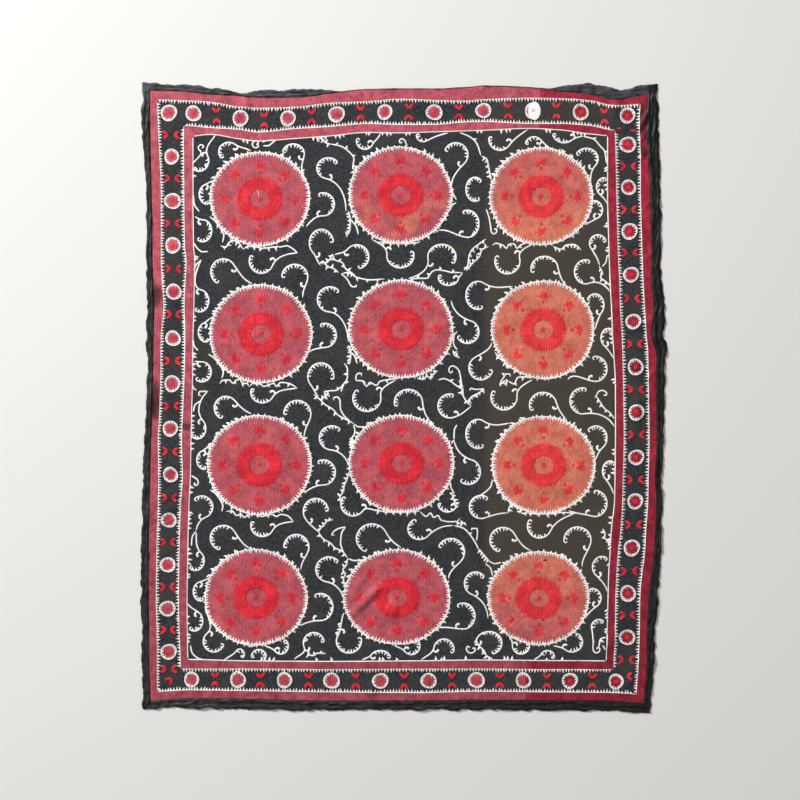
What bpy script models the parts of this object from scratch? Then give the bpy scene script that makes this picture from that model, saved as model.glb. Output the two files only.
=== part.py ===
"""A suzani: an embroidered hanging of four sewn cotton strips with a wrinkled satin edging,
laid flat with its face up. Tables are in millimetres from the middle of the cloth,
+X to the right and +Y to the top of the design, +Z up from the surface it lies on."""

import bmesh
import bpy
import numpy as np
from mathutils import Vector

MM = 0.001

# Driving dimensions
CLOTH_THICKNESS = 2.0
EDGING_THICKNESS = 2.0
SEAM_GAP = 0.3
GRID_STEP = 20.0
EDGING_COLUMNS = 4

# The strips' outline, before the edging. Side edges are (y, x), top and bottom edges (x, y).
LEFT_EDGE = [
    (-1209, -1009), (-1048, -1014), (-808, -1016), (-628, -1017), (-428, -1012),
    (-308, -1010), (-168, -1006), (52, -1000), (248, -996), (372, -993),
    (608, -1001), (812, -1004), (1016, -1009), (1228, -1012),
]
RIGHT_EDGE = [
    (-1220, 962), (-1056, 974), (-968, 974), (-804, 982), (-704, 992), (-628, 1002),
    (-528, 1008), (-408, 1012), (-320, 1007), (-164, 1015), (40, 1010), (168, 1012),
    (248, 992), (372, 999), (472, 992), (608, 992), (812, 986), (964, 979),
    (1092, 971), (1213, 976),
]
TOP_EDGE = [
    (-1012, 1228), (-872, 1224), (-772, 1212), (-652, 1208), (-580, 1200), (-428, 1200),
    (-292, 1216), (-140, 1232), (116, 1234), (320, 1246), (508, 1240), (628, 1224),
    (748, 1212), (848, 1192), (976, 1213),
]
BOTTOM_EDGE = [
    (-1009, -1209), (-848, -1199), (-644, -1202), (-292, -1209), (64, -1208),
    (308, -1205), (564, -1207), (820, -1209), (962, -1220),
]

# The seams between the four loom-width strips, as (y, x), straight between their rows
SEAMS = [
    [(-1205, -563), (-808, -560), (-272, -549), (272, -536), (1200, -532)],
    [(-1205, -34), (-796, -32), (-264, -14), (1233, -16)],
    [(-1205, 492), (-808, 496), (232, 528), (1236, 548)],
]
PANEL_NAMES = ["panel_left", "panel_middle_left", "panel_middle_right", "panel_right"]

# How much of the edging shows beside each edge: (place along the edge, width)
LEFT_WIDTH = [
    (-1209, 33), (-968, 30), (-628, 31), (-408, 30), (-160, 31), (-8, 24), (92, 23),
    (296, 31), (608, 25), (864, 23), (1068, 34), (1228, 32),
]
RIGHT_WIDTH = [
    (-1220, 26), (-1008, 30), (-808, 34), (-648, 28), (-408, 24), (-168, 29), (40, 38),
    (168, 36), (248, 54), (472, 40), (792, 41), (1192, 48), (1213, 42),
]
# From x = -232 to 548 the top edging is turned under, and only its fold shows.
TOP_WIDTH = [
    (-1012, 32), (-876, 28), (-736, 33), (-688, 23), (-632, 13), (-532, 32), (-376, 31),
    (-292, 20), (-232, 4), (548, 4), (568, 10), (628, 30), (740, 41), (848, 40),
    (908, 48), (976, 43),
]
BOTTOM_WIDTH = [
    (-1009, 33), (-796, 40), (-540, 41), (-292, 39), (308, 41), (508, 44), (820, 41),
    (962, 40),
]

# Height of the edging's wrinkles above its plain cloth: place, inner crest, trough, outer crest
LEFT_WRINKLES = [
    (-1209, 3, 1, 2), (-1090, 5, 1, 3), (-960, 2, 1, 5), (-820, 5, 2, 2), (-690, 3, 1, 4),
    (-560, 6, 1, 3), (-440, 2, 2, 5), (-300, 6, 1, 2), (-170, 3, 1, 5), (-20, 7, 1, 3),
    (110, 5, 2, 5), (250, 2, 1, 4), (390, 6, 1, 2), (540, 3, 2, 5), (700, 5, 1, 2),
    (850, 2, 1, 4), (980, 5, 1, 3), (1110, 3, 2, 4), (1228, 3, 1, 2),
]
RIGHT_WRINKLES = [
    (-1220, 3, 1, 2), (-1100, 5, 1, 4), (-960, 3, 2, 2), (-830, 6, 1, 4), (-690, 2, 1, 5),
    (-560, 5, 2, 3), (-420, 3, 1, 4), (-290, 6, 1, 2), (-150, 3, 2, 6), (-20, 7, 1, 3),
    (110, 3, 1, 5), (215, 9, 2, 7), (300, 3, 1, 4), (430, 6, 2, 3), (570, 3, 1, 5),
    (710, 6, 1, 3), (850, 3, 2, 5), (980, 6, 1, 3), (1110, 4, 2, 5), (1213, 3, 1, 2),
]
TOP_WRINKLES = [
    (-1012, 3, 1, 2), (-900, 5, 1, 4), (-780, 3, 2, 5), (-690, 6, 2, 3), (-632, 3, 2, 2),
    (-550, 5, 1, 4), (-440, 3, 1, 5), (-340, 5, 2, 3), (-232, 1, 1, 1), (548, 1, 1, 1),
    (640, 5, 1, 4), (740, 3, 2, 6), (848, 6, 2, 3), (910, 4, 1, 5), (976, 3, 1, 2),
]
BOTTOM_WRINKLES = [
    (-1009, 3, 1, 2), (-890, 5, 1, 4), (-760, 3, 2, 5), (-620, 6, 1, 3), (-480, 3, 1, 5),
    (-350, 5, 2, 3), (-210, 3, 1, 5), (-80, 6, 2, 3), (60, 3, 1, 4), (200, 5, 1, 5),
    (340, 3, 2, 3), (480, 6, 1, 5), (620, 3, 1, 4), (750, 5, 2, 3), (880, 3, 1, 5),
    (962, 3, 1, 2),
]

# Soft folds and puckers of the cloth: middle x, middle y, heading in degrees,
# half length, half width, height
FOLDS = [
    # the lowest middle medallion and the ground round it
    (-150, -812, 45, 100, 36, 10),
    (-38, -842, 88, 52, 28, 6),
    (112, -592, 25, 46, 28, 4),
    (318, -866, -72, 62, 30, 7),
    (404, -948, 60, 52, 28, 5),
    # the left bands, drawn in by the edging
    (-950, 424, -35, 72, 30, 5),
    (-985, -8, 88, 100, 30, 8),
    (-935, -24, -40, 62, 28, 5),
    (-945, -288, 30, 72, 28, 5),
    (-945, -396, 25, 66, 28, 5),
    (-940, -452, 38, 72, 30, 6),
    (-945, -548, -30, 66, 28, 5),
    (-945, -612, 30, 66, 28, 4),
    (-940, 1010, -28, 64, 30, 4),
    # the right bands
    (955, 292, 18, 72, 30, 6),
    (958, 204, -22, 80, 32, 8),
    (950, -16, 32, 66, 30, 5),
    (932, -54, 90, 116, 30, 7),
    (940, -640, -35, 70, 30, 5),
    (925, 620, 24, 64, 30, 4),
    # the lower right corner
    (828, -968, 50, 92, 34, 6),
    (744, -1090, 38, 84, 32, 5),
    (905, -1130, 62, 76, 30, 6),
    # along the top
    (-628, 1172, 80, 50, 30, 6),
    (-440, 1160, 104, 46, 28, 4),
    (690, 1176, 70, 46, 28, 4),
    (848, 1158, 86, 50, 30, 6),
    # along the foot
    (-700, -1160, 100, 46, 28, 4),
    (-120, -1160, 80, 46, 28, 4),
    (420, -1162, 96, 46, 28, 4),
]

GROUND_COLOUR = (0.032, 0.034, 0.037, 1.0)
EDGING_COLOUR = (0.07, 0.07, 0.078, 1.0)


def along(rows, place):
    """Values at place on a curve through (place, value) rows that never swings past them."""
    places, values = np.array(rows, float).T
    secants = np.diff(values) / np.diff(places)
    slopes = np.concatenate([secants[:1], np.zeros(len(rows) - 2), secants[-1:]])
    before, after = secants[:-1], secants[1:]
    same = before * after > 0
    slopes[1:-1][same] = 2 * before[same] * after[same] / (before[same] + after[same])
    i = np.clip(np.searchsorted(places, place) - 1, 0, len(rows) - 2)
    span = places[i + 1] - places[i]
    f = np.clip((place - places[i]) / span, 0, 1)
    start = (1 + 2 * f) * (1 - f) ** 2 * values[i] + f * (1 - f) ** 2 * span * slopes[i]
    end = f**2 * (3 - 2 * f) * values[i + 1] + f**2 * (f - 1) * span * slopes[i + 1]
    return start + end


def relief(x, y):
    """Height of the cloth's underside over the surface: nothing, but for its folds."""
    height = np.zeros_like(x)
    for fold_x, fold_y, heading, half_length, half_width, fold_height in FOLDS:
        turn = np.radians(heading)
        run = (x - fold_x) * np.cos(turn) + (y - fold_y) * np.sin(turn)
        side = (y - fold_y) * np.cos(turn) - (x - fold_x) * np.sin(turn)
        lengthwise = np.clip(1 - (run / half_length) ** 2, 0, 1) ** 1.5
        across = np.clip(1 - (side / half_width) ** 2, 0, 1) ** 2
        height = np.maximum(height, fold_height * lengthwise * across)
    return height


def between(low, high, fraction):
    return low + (high - low) * fraction


def side_line(edge, corner_low, corner_high, fraction):
    """An outer side edge, walked from its lower corner to its upper one."""
    y = between(corner_low, corner_high, fraction)
    return along(edge, y), y


def seam_line(seam, fraction):
    """A seam, from the bottom edge to the top edge."""
    places, values = np.array(seam, float).T
    low = along(BOTTOM_EDGE, np.array([values[0]]))[0]
    high = along(TOP_EDGE, np.array([values[-1]]))[0]
    y = between(low, high, fraction)
    return np.interp(y, places, values), y


def upright_lines(fraction):
    """The five lines that bound the four strips: left edge, three seams, right edge."""
    left = side_line(LEFT_EDGE, LEFT_EDGE[0][0], LEFT_EDGE[-1][0], fraction)
    right = side_line(RIGHT_EDGE, RIGHT_EDGE[0][0], RIGHT_EDGE[-1][0], fraction)
    return [left, *[seam_line(seam, fraction) for seam in SEAMS], right]


def panel_points(start, end, columns):
    """Grid of one strip between two upright lines, as arrays of x and y."""
    f = np.linspace(0, 1, columns + 1)
    t = np.linspace(0, 1, len(start[0]))[:, None]
    x = between(start[0][:, None], end[0][:, None], f)
    low = along(BOTTOM_EDGE, x[0])
    high = along(TOP_EDGE, x[-1])
    return x, between(low, high, t)


def closed_sheet(name, x, y, underside, top, material):
    """One closed body over a grid of places, given its underside and top in millimetres."""
    rows, columns = x.shape[0] - 1, x.shape[1] - 1
    bm = bmesh.new()
    bmesh.ops.create_grid(bm, x_segments=columns, y_segments=rows, size=0.5)
    rise = bm.verts.layers.float.new("rise")
    for vert in bm.verts:
        j = round((vert.co.y + 0.5) * rows)
        i = round((vert.co.x + 0.5) * columns)
        vert.co = Vector((x[j, i], y[j, i], underside[j, i])) * MM
        vert[rise] = (top[j, i] - underside[j, i]) * MM
    bmesh.ops.triangulate(bm, faces=bm.faces[:])
    extruded = bmesh.ops.extrude_face_region(bm, geom=bm.faces[:])
    for item in extruded["geom"]:
        if isinstance(item, bmesh.types.BMVert):
            item.co.z += item[rise]
    bmesh.ops.recalc_face_normals(bm, faces=bm.faces[:])
    mesh = bpy.data.meshes.new(name)
    bm.to_mesh(mesh)
    bm.free()
    mesh.shade_smooth()
    mesh.set_sharp_from_angle(angle=np.radians(50))
    mesh.materials.append(material)
    sheet = bpy.data.objects.new(name, mesh)
    bpy.context.scene.collection.objects.link(sheet)
    return sheet


def plain_material(name, colour, roughness):
    material = bpy.data.materials.new(name)
    material.use_nodes = True
    shader = material.node_tree.nodes["Principled BSDF"]
    shader.inputs["Base Color"].default_value = colour
    shader.inputs["Roughness"].default_value = roughness
    shader.inputs["Metallic"].default_value = 0.0
    return material


def make_panels(lines, columns, material):
    """The four embroidered strips, sewn edge to edge with the seam's gap between them."""
    half_gap = SEAM_GAP / 2
    for k, name in enumerate(PANEL_NAMES):
        (left_x, left_y), (right_x, right_y) = lines[k], lines[k + 1]
        start = (left_x + half_gap * (k > 0), left_y)
        end = (right_x - half_gap * (k < len(PANEL_NAMES) - 1), right_y)
        x, y = panel_points(start, end, columns[k])
        underside = relief(x, y)
        closed_sheet(name, x, y, underside, underside + CLOTH_THICKNESS, material)


def make_edging(name, inner, outer, wrinkles, places, material):
    """A strip from the panels' edge to the outer edge, flat below and wrinkled above."""
    across = np.linspace(0, 1, EDGING_COLUMNS + 1)
    x = between(inner[0][:, None], outer[0][:, None], across)
    y = between(inner[1][:, None], outer[1][:, None], across)
    heights = np.zeros_like(x)
    for column in range(1, EDGING_COLUMNS):
        rows = [(row[0], row[column]) for row in wrinkles]
        heights[:, column] = along(rows, places)
    top = relief(x, y) + heights + EDGING_THICKNESS
    closed_sheet(name, x, y, np.zeros_like(x), top, material)


def make_side_edging(name, edge, sign, width, wrinkles, material):
    """The edging of one side, mitred into the top and bottom edging."""
    x, y = edge
    top = y[-1] + along(TOP_WIDTH, x[-1:])[0] - SEAM_GAP
    bottom = y[0] - along(BOTTOM_WIDTH, x[:1])[0] + SEAM_GAP
    fraction = (y - y[0]) / (y[-1] - y[0])
    outer = (x + sign * along(width, y), between(bottom, top, fraction))
    make_edging(name, (x + sign * SEAM_GAP, y), outer, wrinkles, y, material)


def make_end_edging(name, edge, sign, width, wrinkles, material):
    """The edging of the top or the bottom, mitred into the side edging."""
    x, y = edge
    left = x[0] - along(LEFT_WIDTH, y[:1])[0] + SEAM_GAP
    right = x[-1] + along(RIGHT_WIDTH, y[-1:])[0] - SEAM_GAP
    fraction = (x - x[0]) / (x[-1] - x[0])
    outer = (between(left, right, fraction), y + sign * along(width, x))
    make_edging(name, (x, y + sign * SEAM_GAP), outer, wrinkles, x, material)


def end_line(lines, columns, row, edge):
    """The top or the bottom edge, with a point at each column of the strips' grids."""
    x = [
        np.linspace(lines[k][0][row], lines[k + 1][0][row], columns[k] + 1)[:-1]
        for k in range(len(columns))
    ]
    x = np.append(np.concatenate(x), lines[-1][0][row])
    return x, along(edge, x)


def main():
    for obj in list(bpy.data.objects):
        bpy.data.objects.remove(obj)
    ground = plain_material("charcoal_cotton", GROUND_COLOUR, 0.95)
    satin = plain_material("dark_satin", EDGING_COLOUR, 0.45)
    height = TOP_EDGE[0][1] - BOTTOM_EDGE[0][1]
    fraction = np.linspace(0, 1, round(height / GRID_STEP) + 1)
    lines = upright_lines(fraction)
    widths = [lines[k + 1][0][0] - lines[k][0][0] for k in range(len(PANEL_NAMES))]
    columns = [round(width / GRID_STEP) for width in widths]
    make_panels(lines, columns, ground)
    make_side_edging("edging_left", lines[0], -1, LEFT_WIDTH, LEFT_WRINKLES, satin)
    make_side_edging("edging_right", lines[-1], 1, RIGHT_WIDTH, RIGHT_WRINKLES, satin)
    top = end_line(lines, columns, -1, TOP_EDGE)
    bottom = end_line(lines, columns, 0, BOTTOM_EDGE)
    make_end_edging("edging_top", top, 1, TOP_WIDTH, TOP_WRINKLES, satin)
    make_end_edging("edging_bottom", bottom, -1, BOTTOM_WIDTH, BOTTOM_WRINKLES, satin)


main()
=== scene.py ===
import math
import random

import bmesh
import bpy
import numpy as np
from mathutils import Matrix, Vector, noise


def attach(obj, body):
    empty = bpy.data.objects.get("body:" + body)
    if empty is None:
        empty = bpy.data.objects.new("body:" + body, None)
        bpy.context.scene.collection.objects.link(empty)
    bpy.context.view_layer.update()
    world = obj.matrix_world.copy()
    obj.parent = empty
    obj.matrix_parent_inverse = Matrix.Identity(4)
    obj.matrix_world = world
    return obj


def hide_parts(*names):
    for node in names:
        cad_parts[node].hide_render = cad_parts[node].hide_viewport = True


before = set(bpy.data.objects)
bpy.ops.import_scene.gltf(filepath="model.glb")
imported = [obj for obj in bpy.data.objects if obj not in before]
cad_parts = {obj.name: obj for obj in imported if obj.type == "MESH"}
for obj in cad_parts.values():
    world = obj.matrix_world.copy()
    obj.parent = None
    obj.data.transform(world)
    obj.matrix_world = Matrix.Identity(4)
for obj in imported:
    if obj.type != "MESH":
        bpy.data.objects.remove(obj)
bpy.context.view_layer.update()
mm = 0.001

# The design is charted in squares of 4 mm, counted across from the left and down from the top.
chart = {"square": 0.004, "middleX": 403, "middleY": 398}

# Where each side's lines run, in chart squares: place along the side, then the cloth's edge,
# the border's outer and inner toothed lines, and the edge of the field.
frameLines = {
    "top": [
        (150, 91, 99.5, 126, 137), (185, 92, 100.5, 126, 137), (210, 95, 102, 128, 134.5),
        (240, 96, 107, 130, 139), (258, 98, 108, 132.5, 141), (296, 98, 107, 129, 138.5),
        (330, 94, 103, 127, 136), (368, 90, 101.5, 124, 132.5), (400, 89.5, 99, 125, 133),
        (432, 89.5, 100, 125, 132), (464, 88, 101, 122.5, 131), (483, 86.6, 99.5, 122, 130.4),
        (530, 88.5, 98, 124, 128.5), (560, 92, 98.5, 124, 130), (590, 95, 100.5, 126, 134),
        (615, 100, 105.5, 130.5, 136), (647, 94.7, 103.6, 130, 135),
    ],
    "bottom": [
        (151, 700.3, 692, 668.5, 659.5), (191, 697.8, 690, 668.5, 659.5),
        (242, 698.4, 690.7, 668.4, 660.8), (330, 700.3, 692, 669, 661.4),
        (419, 700, 692.7, 668.6, 660.8), (480, 699.3, 691.4, 668.4, 660),
        (544, 699.7, 692, 669, 660.5), (608, 700.3, 692.5, 669, 660.8),
        (643, 702.9, 694.6, 669, 660.8),
    ],
    "left": [
        (92, 150, 156.6, 184, 193), (144, 150.8, 159, 184, 193), (195, 152, 161, 184.3, 193),
        (246, 152.8, 161, 185, 193.6), (260, 152.8, 161, 186.6, 194.8),
        (305, 154.7, 163.6, 184.6, 194), (336, 154, 161, 185.3, 193),
        (385, 153, 160.4, 184.3, 192.5), (420, 152, 159, 182.8, 191.5),
        (440, 151.5, 158, 182, 191), (475, 150.5, 158.5, 183, 190.5),
        (505, 150, 158, 181, 189), (555, 149, 156.5, 179.5, 187.8),
        (600, 149, 156, 179, 187.2), (636, 149.6, 157, 179.8, 187.4),
        (660, 149.6, 157.2, 180.8, 187.8), (700, 150.8, 157.2, 181, 188),
    ],
    "right": [
        (95, 647, 640.7, 614.6, 607.6), (125, 645.8, 639.4, 614.6, 607.6),
        (157, 647.7, 640.5, 615.5, 607.6), (195, 649.6, 640.7, 616.3, 607.6),
        (246, 650.9, 642, 617.5, 609), (280, 650.9, 643.3, 619, 610),
        (305, 652.8, 644.6, 619.7, 611.4), (336, 651, 646.5, 621.6, 612.7),
        (356, 656, 648, 622.3, 614), (388, 655.4, 648.6, 623, 615.5),
        (439, 656.7, 649.3, 623.7, 615.5), (478, 654.7, 648.4, 622.6, 615),
        (500, 656, 648, 622.2, 614.6), (530, 655, 646, 620.3, 611.4),
        (555, 653.5, 644.5, 617.5, 610), (574, 651, 642, 616.3, 608.8),
        (599, 648.4, 640, 615.2, 608), (640, 646.5, 639.4, 614.6, 607),
        (662, 646.5, 638.5, 613.5, 606.3), (700, 643.5, 635.6, 613.5, 606),
    ],
}
edgeLine, outerLine, innerLine, fieldLine = 1, 2, 3, 4

# Cloth: sizes in metres, the seams as (y, x), and the folds and creases in millimetres as
# middle x, middle y, heading, half length, half width, height
cloth = {
    "step": 0.009,
    "thickness": 0.0012,
    "top": 0.0045,
    "grooveDepth": 0.00015,
    "grooveWidth": 0.004,
    "swell": 0.0011,
    "seams": [
        [(-1.205, -0.563), (-0.808, -0.560), (-0.272, -0.549), (0.272, -0.536), (1.200, -0.532)],
        [(-1.205, -0.034), (-0.796, -0.032), (-0.264, -0.014), (1.233, -0.016)],
        [(-1.205, 0.492), (-0.808, 0.496), (0.232, 0.528), (1.236, 0.548)],
    ],
    "folds": [
        (-150, -812, 45, 100, 26, 10), (-38, -842, 88, 52, 28, 6), (112, -592, 25, 46, 28, 4),
        (318, -866, -72, 62, 30, 7), (404, -948, 60, 52, 28, 5), (-950, 424, -35, 72, 30, 5),
        (-1012, -8, 88, 88, 26, 9), (-1010, 412, 86, 56, 24, 6), (-1022, -480, 84, 60, 24, 5),
        (-935, -24, -40, 62, 28, 5), (-945, -288, 30, 72, 28, 5),
        (-945, -396, 25, 66, 28, 5), (-940, -452, 38, 72, 30, 6), (-945, -548, -30, 66, 28, 5),
        (-945, -612, 30, 66, 28, 4), (-940, 1010, -28, 64, 30, 4), (955, 292, 18, 72, 30, 6),
        (958, 204, -22, 80, 32, 8), (950, -16, 32, 66, 30, 5), (932, -54, 90, 116, 30, 7),
        (940, -640, -35, 70, 30, 5), (925, 620, 24, 64, 30, 4), (828, -968, 50, 92, 34, 6),
        (744, -1090, 38, 84, 32, 5), (905, -1130, 62, 76, 30, 6), (-628, 1172, 80, 50, 30, 6),
        (-440, 1160, 104, 46, 28, 4), (690, 1176, 70, 46, 28, 4), (848, 1158, 86, 50, 30, 6),
        (962, 1110, 62, 70, 17, 8), (956, 1040, 58, 50, 16, 5), (954, 965, 56, 46, 16, 4),
        (968, 760, 50, 44, 16, 4), (974, 560, 40, 44, 16, 4), (985, 90, 50, 46, 18, 5),
        (-700, -1160, 100, 46, 28, 4), (-120, -1160, 80, 46, 28, 4), (420, -1162, 96, 46, 28, 4),
    ],
    "creases": [
        (-190, -770, 58, 120, 14, 3), (-90, -762, 20, 70, 13, 2), (-60, -842, 70, 46, 14, 3),
        (300, -880, -62, 60, 13, 3), (330, -912, -70, 46, 12, 2), (-640, 218, 4, 120, 18, 1.4),
        (100, 218, 2, 150, 18, 1.4), (620, 222, -3, 120, 18, 1.2), (-955, 460, 8, 44, 12, 2),
        (-950, 20, -30, 50, 12, 2), (-945, -250, 12, 46, 12, 2), (-950, -500, 22, 46, 12, 2),
        (950, 240, 8, 50, 12, 2), (945, 120, -16, 46, 12, 2), (940, -300, 20, 44, 12, 2),
        (860, -900, 38, 70, 13, 2.5), (700, -1040, 50, 60, 13, 2), (930, -1060, 40, 60, 13, 2),
        (330, 560, 88, 150, 16, 1.4), (322, 40, 90, 170, 16, 1.4), (326, -420, 89, 160, 16, 1.4),
    ],
}


def along(places, values, place):
    # a smooth curve through the rows that never swings past them
    secants = np.diff(values) / np.diff(places)
    slopes = np.concatenate([secants[:1], np.zeros(len(places) - 2), secants[-1:]])
    before, after = secants[:-1], secants[1:]
    same = before * after > 0
    slopes[1:-1][same] = 2 * before[same] * after[same] / (before[same] + after[same])
    i = np.clip(np.searchsorted(places, place) - 1, 0, len(places) - 2)
    span = places[i + 1] - places[i]
    f = np.clip((place - places[i]) / span, 0, 1)
    start = (1 + 2 * f) * (1 - f) ** 2 * values[i] + f * (1 - f) ** 2 * span * slopes[i]
    end = f**2 * (3 - 2 * f) * values[i + 1] + f**2 * (f - 1) * span * slopes[i + 1]
    return start + end


def toCloth(points):
    # chart squares to metres on the cloth, with y upwards
    points = np.asarray(points, float)
    x = points[..., 0] - chart["middleX"]
    y = chart["middleY"] - points[..., 1]
    return np.stack([x, y], axis=-1) * chart["square"]


def lineAt(side, line, place):
    # how far across the cloth a side's line runs, at places along that side, in metres
    rows = np.array(frameLines[side], float)
    upright = side in ("left", "right")
    if upright:
        places = (chart["middleY"] - rows[::-1, 0]) * chart["square"]
        values = (rows[::-1, line] - chart["middleX"]) * chart["square"]
    else:
        places = (rows[:, 0] - chart["middleX"]) * chart["square"]
        values = (chart["middleY"] - rows[:, line]) * chart["square"]
    return along(places, values, np.atleast_1d(np.asarray(place, float)))


def corner(level, upright, line):
    # where the top or bottom line meets the left or right one
    x, y = 0.0, 0.0
    for _ in range(4):
        y = lineAt(level, line, x)[0]
        x = lineAt(upright, line, y)[0]
    return x, y


def sideLine(side, line, count):
    # points of one side's line from corner to corner, rightwards or upwards
    t = np.linspace(0, 1, count)
    if side in ("left", "right"):
        low, high = corner("bottom", side, line)[1], corner("top", side, line)[1]
        y = low + (high - low) * t
        return np.stack([lineAt(side, line, y), y], axis=-1)
    low, high = corner(side, "left", line)[0], corner(side, "right", line)[0]
    x = low + (high - low) * t
    return np.stack([x, lineAt(side, line, x)], axis=-1)


def foldHeight(rows, x, y):
    height = np.zeros_like(x)
    for foldX, foldY, heading, halfLength, halfWidth, rise in rows:
        turn = math.radians(heading)
        run = (x - foldX * mm) * math.cos(turn) + (y - foldY * mm) * math.sin(turn)
        aside = (y - foldY * mm) * math.cos(turn) - (x - foldX * mm) * math.sin(turn)
        lengthwise = np.clip(1 - (run / (halfLength * mm)) ** 2, 0, 1) ** 1.5
        across = np.clip(1 - (aside / (halfWidth * mm)) ** 2, 0, 1) ** 2
        height = np.maximum(height, rise * mm * lengthwise * across)
    return height


def clothTop(x, y):
    # the cloth's upper face: its folds, finer creases, a slight swell, and grooves at the seams
    height = foldHeight(cloth["folds"], x, y) + foldHeight(cloth["creases"], x, y)
    ripple = np.sin(23 * x + 7 * y) * np.sin(17 * y - 5 * x + 1.3)
    ripple += 0.6 * np.sin(41 * x - 13 * y + 2) * np.sin(37 * y + 9 * x)
    height += cloth["swell"] * ripple
    for seam in cloth["seams"]:
        places, values = np.array(seam).T
        distance = x - np.interp(y, places, values)
        height -= cloth["grooveDepth"] * np.exp(-(distance / cloth["grooveWidth"]) ** 2)
    return cloth["top"] + height


def linear(hexColour):
    # sRGB hex to the linear colour that a shader takes
    parts = [int(hexColour[i:i + 2], 16) / 255 for i in (1, 3, 5)]
    return [p / 12.92 if p <= 0.04045 else ((p + 0.055) / 1.055) ** 2.4 for p in parts] + [1.0]


def addNode(material, kind, settings=None, links=None):
    # adds one node; settings name its properties or sockets, links bring sockets in
    tree = material.node_tree
    node = tree.nodes.new(kind)
    for key, value in (settings or {}).items():
        if isinstance(key, str) and hasattr(node, key):
            setattr(node, key, value)
        else:
            node.inputs[key].default_value = value
    for key, source in (links or {}).items():
        tree.links.new(source, node.inputs[key])
    return node


def newMaterial(name, settings):
    material = bpy.data.materials.new(name)
    material.use_nodes = True
    shader = material.node_tree.nodes["Principled BSDF"]
    for key, value in settings.items():
        shader.inputs[key].default_value = value
    return material, shader


def mixColours(material, factor, first, second):
    # each colour is a hex value or a socket; the answer is the mixed colour's socket
    node = addNode(material, "ShaderNodeMix", {"data_type": "RGBA"}, {0: factor})
    for index, colour in ((6, first), (7, second)):
        if isinstance(colour, str):
            node.inputs[index].default_value = linear(colour)
        else:
            material.node_tree.links.new(colour, node.inputs[index])
    return node.outputs[2]


def smoothRange(material, source, low, high, toLow=0.0, toHigh=1.0):
    settings = {
        "interpolation_type": "SMOOTHSTEP",
        "From Min": low,
        "From Max": high,
        "To Min": toLow,
        "To Max": toHigh,
    }
    return addNode(material, "ShaderNodeMapRange", settings, {"Value": source}).outputs["Result"]


def arithmetic(material, operation, first, second):
    node = addNode(material, "ShaderNodeMath", {"operation": operation})
    for index, value in ((0, first), (1, second)):
        if isinstance(value, (int, float)):
            node.inputs[index].default_value = value
        else:
            material.node_tree.links.new(value, node.inputs[index])
    return node.outputs[0]


def noiseOf(material, vector, size, detail=2.0, stretch=None):
    # soft cloudy pattern whose patches are about size metres across
    if stretch:
        settings = {"vector_type": "TEXTURE", "Scale": stretch}
        vector = addNode(material, "ShaderNodeMapping", settings, {"Vector": vector}).outputs[0]
    settings = {"Scale": 1 / size, "Detail": detail}
    return addNode(material, "ShaderNodeTexNoise", settings, {"Vector": vector}).outputs["Fac"]


def threadsOf(material, vector, spacing, direction, distortion=0.6):
    # parallel threads; the wave texture has ten pi bands to a unit at scale 1
    settings = {
        "wave_type": "BANDS",
        "bands_direction": direction,
        "Scale": math.pi / 10 / spacing,
        "Distortion": distortion,
        "Detail": 2.0,
        "Detail Scale": 0.6,
    }
    return addNode(material, "ShaderNodeTexWave", settings, {"Vector": vector}).outputs["Fac"]


def addBump(material, shader, height, distance, strength=1.0):
    settings = {"Strength": strength, "Distance": distance}
    bump = addNode(material, "ShaderNodeBump", settings, {"Height": height})
    material.node_tree.links.new(bump.outputs["Normal"], shader.inputs["Normal"])


# Fading: the cloth hung folded, and the field has faded to the right of an upright fold, less
# above a level fold and towards the foot
fading = {
    "foldX": 0.324, "softness": 0.02, "fieldEnd": 0.845, "levelFoldY": 0.78, "topShare": 0.5,
    "footHigh": -0.62, "footLow": -1.0, "footShare": 0.25,
}


def spotOf(material, place, x, y, halfWidth, halfHeight):
    # a soft oval spot: 1 in its middle, 0 at its edge
    settings = {"vector_type": "TEXTURE", "Location": (x, y, 0), "Scale": (halfWidth, halfHeight, 1)}
    local = addNode(material, "ShaderNodeMapping", settings, {"Vector": place}).outputs[0]
    settings = {"gradient_type": "SPHERICAL"}
    return addNode(material, "ShaderNodeTexGradient", settings, {"Vector": local}).outputs["Fac"]


def fadedShare(material, place):
    xyz = addNode(material, "ShaderNodeSeparateXYZ", links={0: place}).outputs
    soft = fading["softness"]
    right = smoothRange(material, xyz[0], fading["foldX"] - soft, fading["foldX"] + soft)
    end, level = fading["fieldEnd"], fading["levelFoldY"]
    within = smoothRange(material, xyz[0], end - soft, end + soft, 1.0, 0.0)
    lower = smoothRange(material, xyz[1], level - soft, level + soft, 1.0, fading["topShare"])
    foot = smoothRange(material, xyz[1], fading["footLow"], fading["footHigh"], fading["footShare"], 1.0)
    share = arithmetic(material, "MULTIPLY", right, within)
    share = arithmetic(material, "MULTIPLY", share, lower)
    return arithmetic(material, "MULTIPLY", share, foot), xyz


cotton = {"charcoal": "#191b1e", "lifted": "#3e4146", "faded": "#463e35", "thread": 0.0045}


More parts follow.
